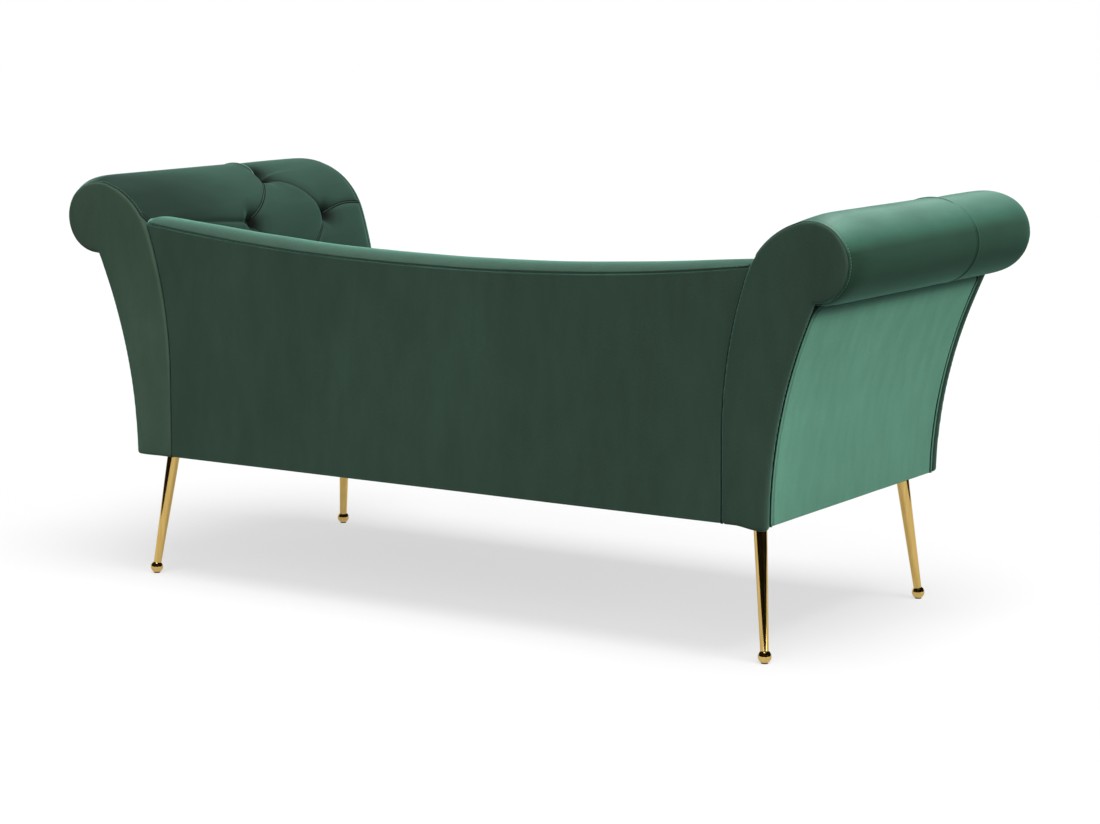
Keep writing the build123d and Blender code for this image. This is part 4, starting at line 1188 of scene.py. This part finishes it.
BACK_CROWN = 0.011            # height of the rolled top over the outside seam
BACK_NOSE = 0.024             # how far under it the rolled top turns into the front
BACK_LEAN = 0.008             # how far the front stands forward of that turn
BACK_PAD_ROUND = 0.155        # how far down the front is round
BACK_RIPPLE = 0.0016          # gathers of the rolled top beside the arms
RIPPLE_STEP = 0.0095
BACK_EDGE = 0.0016            # rounding of the rolled top over the outside seam
BACK_FALL = 0.50              # share of its crown that the rolled top loses at the arms
LINER_Y = WRAP_END - 0.025
SEAM_SHADE = 0.0022           # half width of the strip of painted shade in the seam between the back and an arm
SEAM_FILL = 0.003             # its thickness, and how far under the rear face it starts
SEAM_UNDER = 0.0052


def outer_back_panel():
    """Padded outside panel between the arms, under the dipped top."""
    tall = BACK_TOP - HEM - 0.0015
    bm = pillow_panel(240, 110, 2.0, tall, 0.0025, (0.006, 0.003), FACE_Y - WRAP_END, 0.001)

    def place(x, y, z):
        share = x - 1.0
        height = HEM + y
        across = share * INNER_X
        for _ in range(4):
            height = HEM + y * (tall + back_rise(across)) / tall
            across = share * (inner_x(height, SEAM_GAP) - 0.0004)
        return Vector((across, WRAP_END + z, height))

    moved(bm, place)
    for vert in bm.verts:
        vert.co.y += slack(vert.co, depth=0.0008, scale=6.0)
    return finish_piece("back_outside_velvet", bm, VELVET, ["back_outer_panel"])


def back_section(bm, step):
    """Section of the back pad in Y and Z: edge over the seam, rolled top, front and its foot."""
    edge = Vector((FACE_Y - BACK_EDGE - 0.0004, BACK_TOP + BACK_EDGE - 0.0004))
    vert = bm.verts.new((*on_circle(edge, BACK_EDGE, -70), 0))
    start = vert.co.to_2d()
    vert = arc_to(bm, vert, edge, 135, step / 8)
    crest = (FACE_Y - 0.062, BACK_TOP + BACK_CROWN + 0.002)
    nose = (BACK_FRONT + BACK_LEAN, BACK_TOP - BACK_NOSE)
    flat = (BACK_FRONT, BACK_TOP - BACK_PAD_ROUND)
    bend = (flat[0] + BACK_LEAN / 4, (nose[1] + flat[1]) / 2)
    vert = arc_through(bm, vert, crest, nose, step)
    vert = arc_through(bm, vert, bend, flat, step)
    vert = line_to(bm, vert, (BACK_FRONT, SEAT_BASE), 2 * step)
    vert = line_to(bm, vert, (LINER_Y, SEAT_BASE), 8 * step)
    vert = line_to(bm, vert, (LINER_Y, BACK_TOP - 0.012), 8 * step)
    vert = line_to(bm, vert, (WRAP_END, BACK_TOP - 0.012), 8 * step)
    line_to(bm, vert, start, 8 * step)


def back_pad():
    """Back pad with its rolled top, gathered where it meets the arms."""
    bm = bmesh.new()
    back_section(bm, 0.006)
    drawn_out(bm, 2.0, 260)

    def place(y, z, along):
        share = along - 1.0
        across = share * INNER_X
        height = z
        for _ in range(4):
            height = z + back_rise(across)
            across = share * (inner_x(height, WRAP_CROWN) - SOFT_GAP)
        return Vector((across, y, height))

    moved(bm, place)
    for vert in bm.verts:
        from_arm = max(inner_x(vert.co.z, WRAP_CROWN) - abs(vert.co.x), 0)
        seam = BACK_TOP + back_rise(vert.co.x)
        above = vert.co.z - seam
        if above > 0:
            vert.co.z = seam + above * (1 - BACK_FALL * exp(-from_arm / 0.07))
            ripple = sin(vert.co.x * 2 * pi / RIPPLE_STEP) * exp(-from_arm / 0.022)
            vert.co.z += BACK_RIPPLE * ripple * smooth_step(vert.co.y, FACE_Y - 0.06, FACE_Y - 0.01)
        vert.co.y += slack(vert.co, depth=0.0009, scale=9.0)
        vert.co.z += slack(vert.co + Vector((0, 3, 0)), depth=0.0008, scale=9.0)
    return finish_piece("back_velvet_pad", bm, VELVET_BAND, ["back_foam", "back_cover"])


def back_seam(side, arm):
    """Strip of painted shade in the seam between the outside of the back and the facing beside it."""
    tall = BACK_TOP + back_rise(side * INNER_X) - HEM
    wide = 2 * SEAM_SHADE
    bm = seam_strip(120, 8, tall, wide, SEAM_SHADE, SEAM_FILL)

    def place(x, y, z):
        height = HEM + x
        return Vector((side * (inner_x(height, 0) + y - SEAM_SHADE), FACE_Y - SEAM_UNDER + z, height))

    moved(bm, place)
    finish_piece(f"back_{arm}_seam", bm, VELVET_PAINTED_SHADE, [])


def front_seam(side, arm):
    """Strip of painted shade in the seam between an arm and the front of the seat."""
    thick = APRON_FRONT + WRAP_END + 0.0054
    bm = seam_strip(60, 8, SWEEP_Z + 0.003 - HEM, 0.0046, 0.0015, thick)
    moved(bm, lambda x, y, z: Vector((side * (INNER_X - 0.0002 - y), APRON_FRONT + 0.006 - z, HEM + x)))
    finish_piece(f"seat_{arm}_seam", bm, VELVET_PAINTED_SHADE, [])


SEAT_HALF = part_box("seat_foam")[1].x
SEAT_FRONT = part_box("seat_cover")[0].y
SEAT_REAR = BACK_FRONT - SOFT_GAP
SEAT_EDGE = 0.090             # height of its front edge
SEAT_ROUND = 0.024            # rounding of that edge
SEAT_CROWN = 0.009            # how much higher its middle is
SEAT_VOXEL = 0.006
SEAT_SWELL = 0.008            # most that the seat swells as cloth


def seat_cushion():
    """Seat cushion with a rounded front edge, crowned between the arms."""
    bm = bmesh.new()
    top = SEAT_BASE + SEAT_EDGE
    front = SEAT_FRONT + 0.0015
    vert = bm.verts.new((SEAT_REAR, SEAT_BASE, 0))
    vert = line_to(bm, vert, (front + 0.004, SEAT_BASE), 0.012)
    vert = arc_through(bm, vert, (front, SEAT_BASE + 0.033), (front + 0.002, top - SEAT_ROUND), 0.006)
    vert = arc_to(bm, vert, (front + 0.002 + SEAT_ROUND, top - SEAT_ROUND), -90, 0.005)
    vert = line_to(bm, vert, (SEAT_REAR, top), 0.007)
    line_to(bm, vert, (SEAT_REAR, SEAT_BASE), 0.012)
    drawn_out(bm, 2.0, 180)

    def place(y, z, along):
        share = along - 1.0
        depth = (y - front) / (SEAT_REAR - front)
        up = (z - SEAT_BASE) / SEAT_EDGE
        ends = 1 - abs(share)**6
        crown = SEAT_CROWN * (0.45 + 0.55 * ends) * max(0, sin(pi * min(max(depth, 0), 1)))**0.8
        draw = 0.004 * (1 - share * share) * (1 - depth)
        return Vector((share * SEAT_HALF, y + draw, z + crown * up**3))

    def held(place):
        low, beside = place.z < SEAT_BASE + 0.004, abs(place.x) > SEAT_HALF - 0.004
        return low or beside or place.y > SEAT_REAR - 0.004

    moved(bm, place)
    bm = plumped(bm, SEAT_VOXEL, SEAT_SWELL, held)
    for vert in bm.verts:
        if vert.co.z > SEAT_BASE + 0.01:
            vert.co.z += slack(vert.co, depth=0.0014, scale=7.0)
    return finish_piece("seat_velvet_cushion", bm, VELVET, ["seat_foam", "seat_cover"])


def front_apron():
    """Padded strip along the front of the seat box."""
    wide = 2 * (INNER_X - SEAM_GAP)
    tall = SEAT_BASE - HEM - 0.001
    bm = pillow_panel(200, 40, wide, tall, 0.005, (0.006, 0.003), APRON_REAR - APRON_FRONT, 0.001)
    moved(bm, lambda x, y, z: Vector((x - wide / 2, APRON_REAR - z, HEM + y)))
    for vert in bm.verts:
        vert.co.y += slack(vert.co, depth=0.0005, scale=8.0)
    return finish_piece("seat_velvet_apron", bm, VELVET, ["seat_apron"])


# Cloths underneath

def under_cloth(name, solid, low, high, columns, rows, rails):
    """Thin black cloth stapled flat under the chaise."""
    bm = bmesh.new()
    bmesh.ops.create_grid(bm, x_segments=columns, y_segments=rows, size=0.5)
    thick = high.z - low.z
    size = (high.x - low.x, high.y - low.y)
    for vert in bm.verts:
        x = low.x + size[0] * (vert.co.x + 0.5)
        y = low.y + size[1] * (vert.co.y + 0.5)
        vert.co = (x, y, high.z - thick / 2)
    bmesh.ops.solidify(bm, geom=bm.faces[:], thickness=thick / 2)
    piece = finish_piece(name, bm, FINISHES["dust_cloth"], [solid])


def arm_base_cloth(side, arm):
    """Cloth under the base of one arm."""
    low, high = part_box("arm_base_cloths")
    if side > 0:
        low.x = INNER_X
    else:
        high.x = -INNER_X
    under_cloth(f"{arm}_arm_base_cloth", "arm_base_cloths", low, high, 6, 50, [f"{arm}_arm_bottom_rail"])


# Light, floor and camera

SOFT_LIGHT = 0.18
FLOOR_BOUNCE = 0.06           # tone of the floor to the light that it throws back
FLOOR_LIT = 0.34              # its tone to the camera, besides its own brightness
FLOOR_GLOW = 0.62
SCREEN_RADIUS = 1.9
SCREEN_FOOT = 0.06
SCREEN_TOP = 6.0
SCREEN_START = 0.0            # direction that the dark screen starts from, in degrees
SCREEN_TURN = 300.0           # how far it stands round the set


def background_rays(tree):
    """1 for the rays that show the background: the camera's, and those of reflections and glass."""
    path = tree.nodes.new("ShaderNodeLightPath")
    either = path.outputs["Is Camera Ray"]
    for ray in ("Is Glossy Ray", "Is Transmission Ray"):
        greater = tree.nodes.new("ShaderNodeMath")
        greater.operation = "MAXIMUM"
        tree.links.new(either, greater.inputs[0])
        tree.links.new(path.outputs[ray], greater.inputs[1])
        either = greater.outputs["Value"]
    return either


def white_world():
    """White all round for the camera and for reflections, and a soft grey light on everything."""
    world = bpy.data.worlds.new("studio")
    bpy.context.scene.world = world
    world.use_nodes = True
    tree = world.node_tree
    shade = tree.nodes["Background"]
    shade.inputs["Color"].default_value = (1, 1, 1, 1)
    tree.links.new(range_node(tree, background_rays(tree), SOFT_LIGHT, 1.0), shade.inputs["Strength"])


def pale_floor():
    """Plain pale floor, partly bright by itself to the camera, so that its shadow is a light one."""
    bm = bmesh.new()
    bmesh.ops.create_grid(bm, x_segments=1, y_segments=1, size=20)
    floor = to_object("studio_floor", bm)
    material, tree, shader, _ = node_tree("pale_floor")
    seen = background_rays(tree)
    tone = [(0.0, grey(FLOOR_BOUNCE)), (1.0, grey(FLOOR_LIT))]
    tree.links.new(ramp_node(tree, seen, tone), shader.inputs["Base Color"])
    shader.inputs["Roughness"].default_value = 0.9
    shader.inputs["Specular IOR Level"].default_value = 0.0
    shader.inputs["Emission Color"].default_value = (1, 1, 1, 1)
    tree.links.new(range_node(tree, seen, 0.0, FLOOR_GLOW), shader.inputs["Emission Strength"])
    floor.data.materials.append(material)


def studio_light(name, place, power, spread):
    """Wide soft light from far off, shining from a place towards the chaise."""
    light = bpy.data.lights.new(name, "SUN")
    light.energy = power
    light.angle = radians(spread)
    lamp = linked(name, light)
    lamp.location = place
    lamp.rotation_euler = (-Vector(place)).to_track_quat("-Z", "Y").to_euler()


def dark_screen():
    """Dark studio screen round the set, which only polished metal shows."""
    bm = bmesh.new()
    start = on_circle(Vector((0, 0)), SCREEN_RADIUS, SCREEN_START)
    foot = bm.verts.new((*start, SCREEN_FOOT))
    top = bm.verts.new((*start, SCREEN_TOP))
    edge = bm.edges.new((foot, top))
    bmesh.ops.spin(
        bm, geom=[foot, top, edge], cent=(0, 0, 0), axis=(0, 0, 1), angle=radians(SCREEN_TURN), steps=60
    )
    screen = to_object("studio_dark_screen", bm)
    material, _, shader, _ = node_tree("dark_screen")
    shader.inputs["Base Color"].default_value = (0.015, 0.013, 0.012, 1)
    shader.inputs["Roughness"].default_value = 1.0
    screen.data.materials.append(material)
    screen.visible_camera = False
    screen.visible_diffuse = False
    screen.visible_shadow = False


CAMERA_TARGET = Vector((-0.0470, 0.008, 0.3276))
CAMERA_AZIMUTH = 212.505
CAMERA_ELEVATION = 8.831
CAMERA_ROLL = 0.18
CAMERA_DISTANCE = 5.1391
FOCAL_PIXELS = 2834.5         # on the picture's width of 1100 pixels
PICTURE_WIDTH = 1100


def photo_camera():
    """Camera at the photograph's viewing angle."""
    turn, rise = radians(CAMERA_AZIMUTH), radians(CAMERA_ELEVATION)
    back = Vector((sin(turn) * cos(rise), -cos(turn) * cos(rise), sin(rise)))
    lens = bpy.data.cameras.new("photo_camera")
    lens.sensor_fit = "HORIZONTAL"
    lens.sensor_width = 36.0
    lens.lens = FOCAL_PIXELS / PICTURE_WIDTH * lens.sensor_width
    lens.clip_end = 100
    camera = linked("photo_camera", lens)
    camera.location = CAMERA_TARGET + CAMERA_DISTANCE * back
    level = (-back).to_track_quat("-Z", "Y")
    camera.rotation_euler = (level @ Quaternion((0, 0, 1), radians(CAMERA_ROLL))).to_euler()
    bpy.context.scene.camera = camera


bpy.context.scene.view_settings.view_transform = "Standard"
photo_camera()
white_world()
pale_floor()
studio_light("side_light", (-4.0, 0.6, 0.9), 1.3, 40)
studio_light("top_light", (-0.9, 0.5, 4.0), 2.5, 40)
studio_light("rear_light", (-1.2, 4.0, 2.2), 1.1, 60)
dark_screen()
finish_solids()
for side, arm in ((1, "left"), (-1, "right")):
    arm_wrap(side, arm)
    arm_pleats(side, arm)
    arm_seam_lip(side, arm)
    arm_buttons(side, arm)
    arm_stitches(side, arm)
    arm_end_panel(side, arm)
    arm_welts(side, arm)
    back_seam(side, arm)
    front_seam(side, arm)
    for end in (1, -1):
        arm_facing(side, end, arm)
    arm_base_cloth(side, arm)
outer_back_panel()
back_pad()
seat_cushion()
front_apron()
under_cloth(
    "seat_dust_cloth", "dust_cover", *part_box("dust_cover"), 60, 36, ["seat_front_rail", "seat_rear_rail"]
)
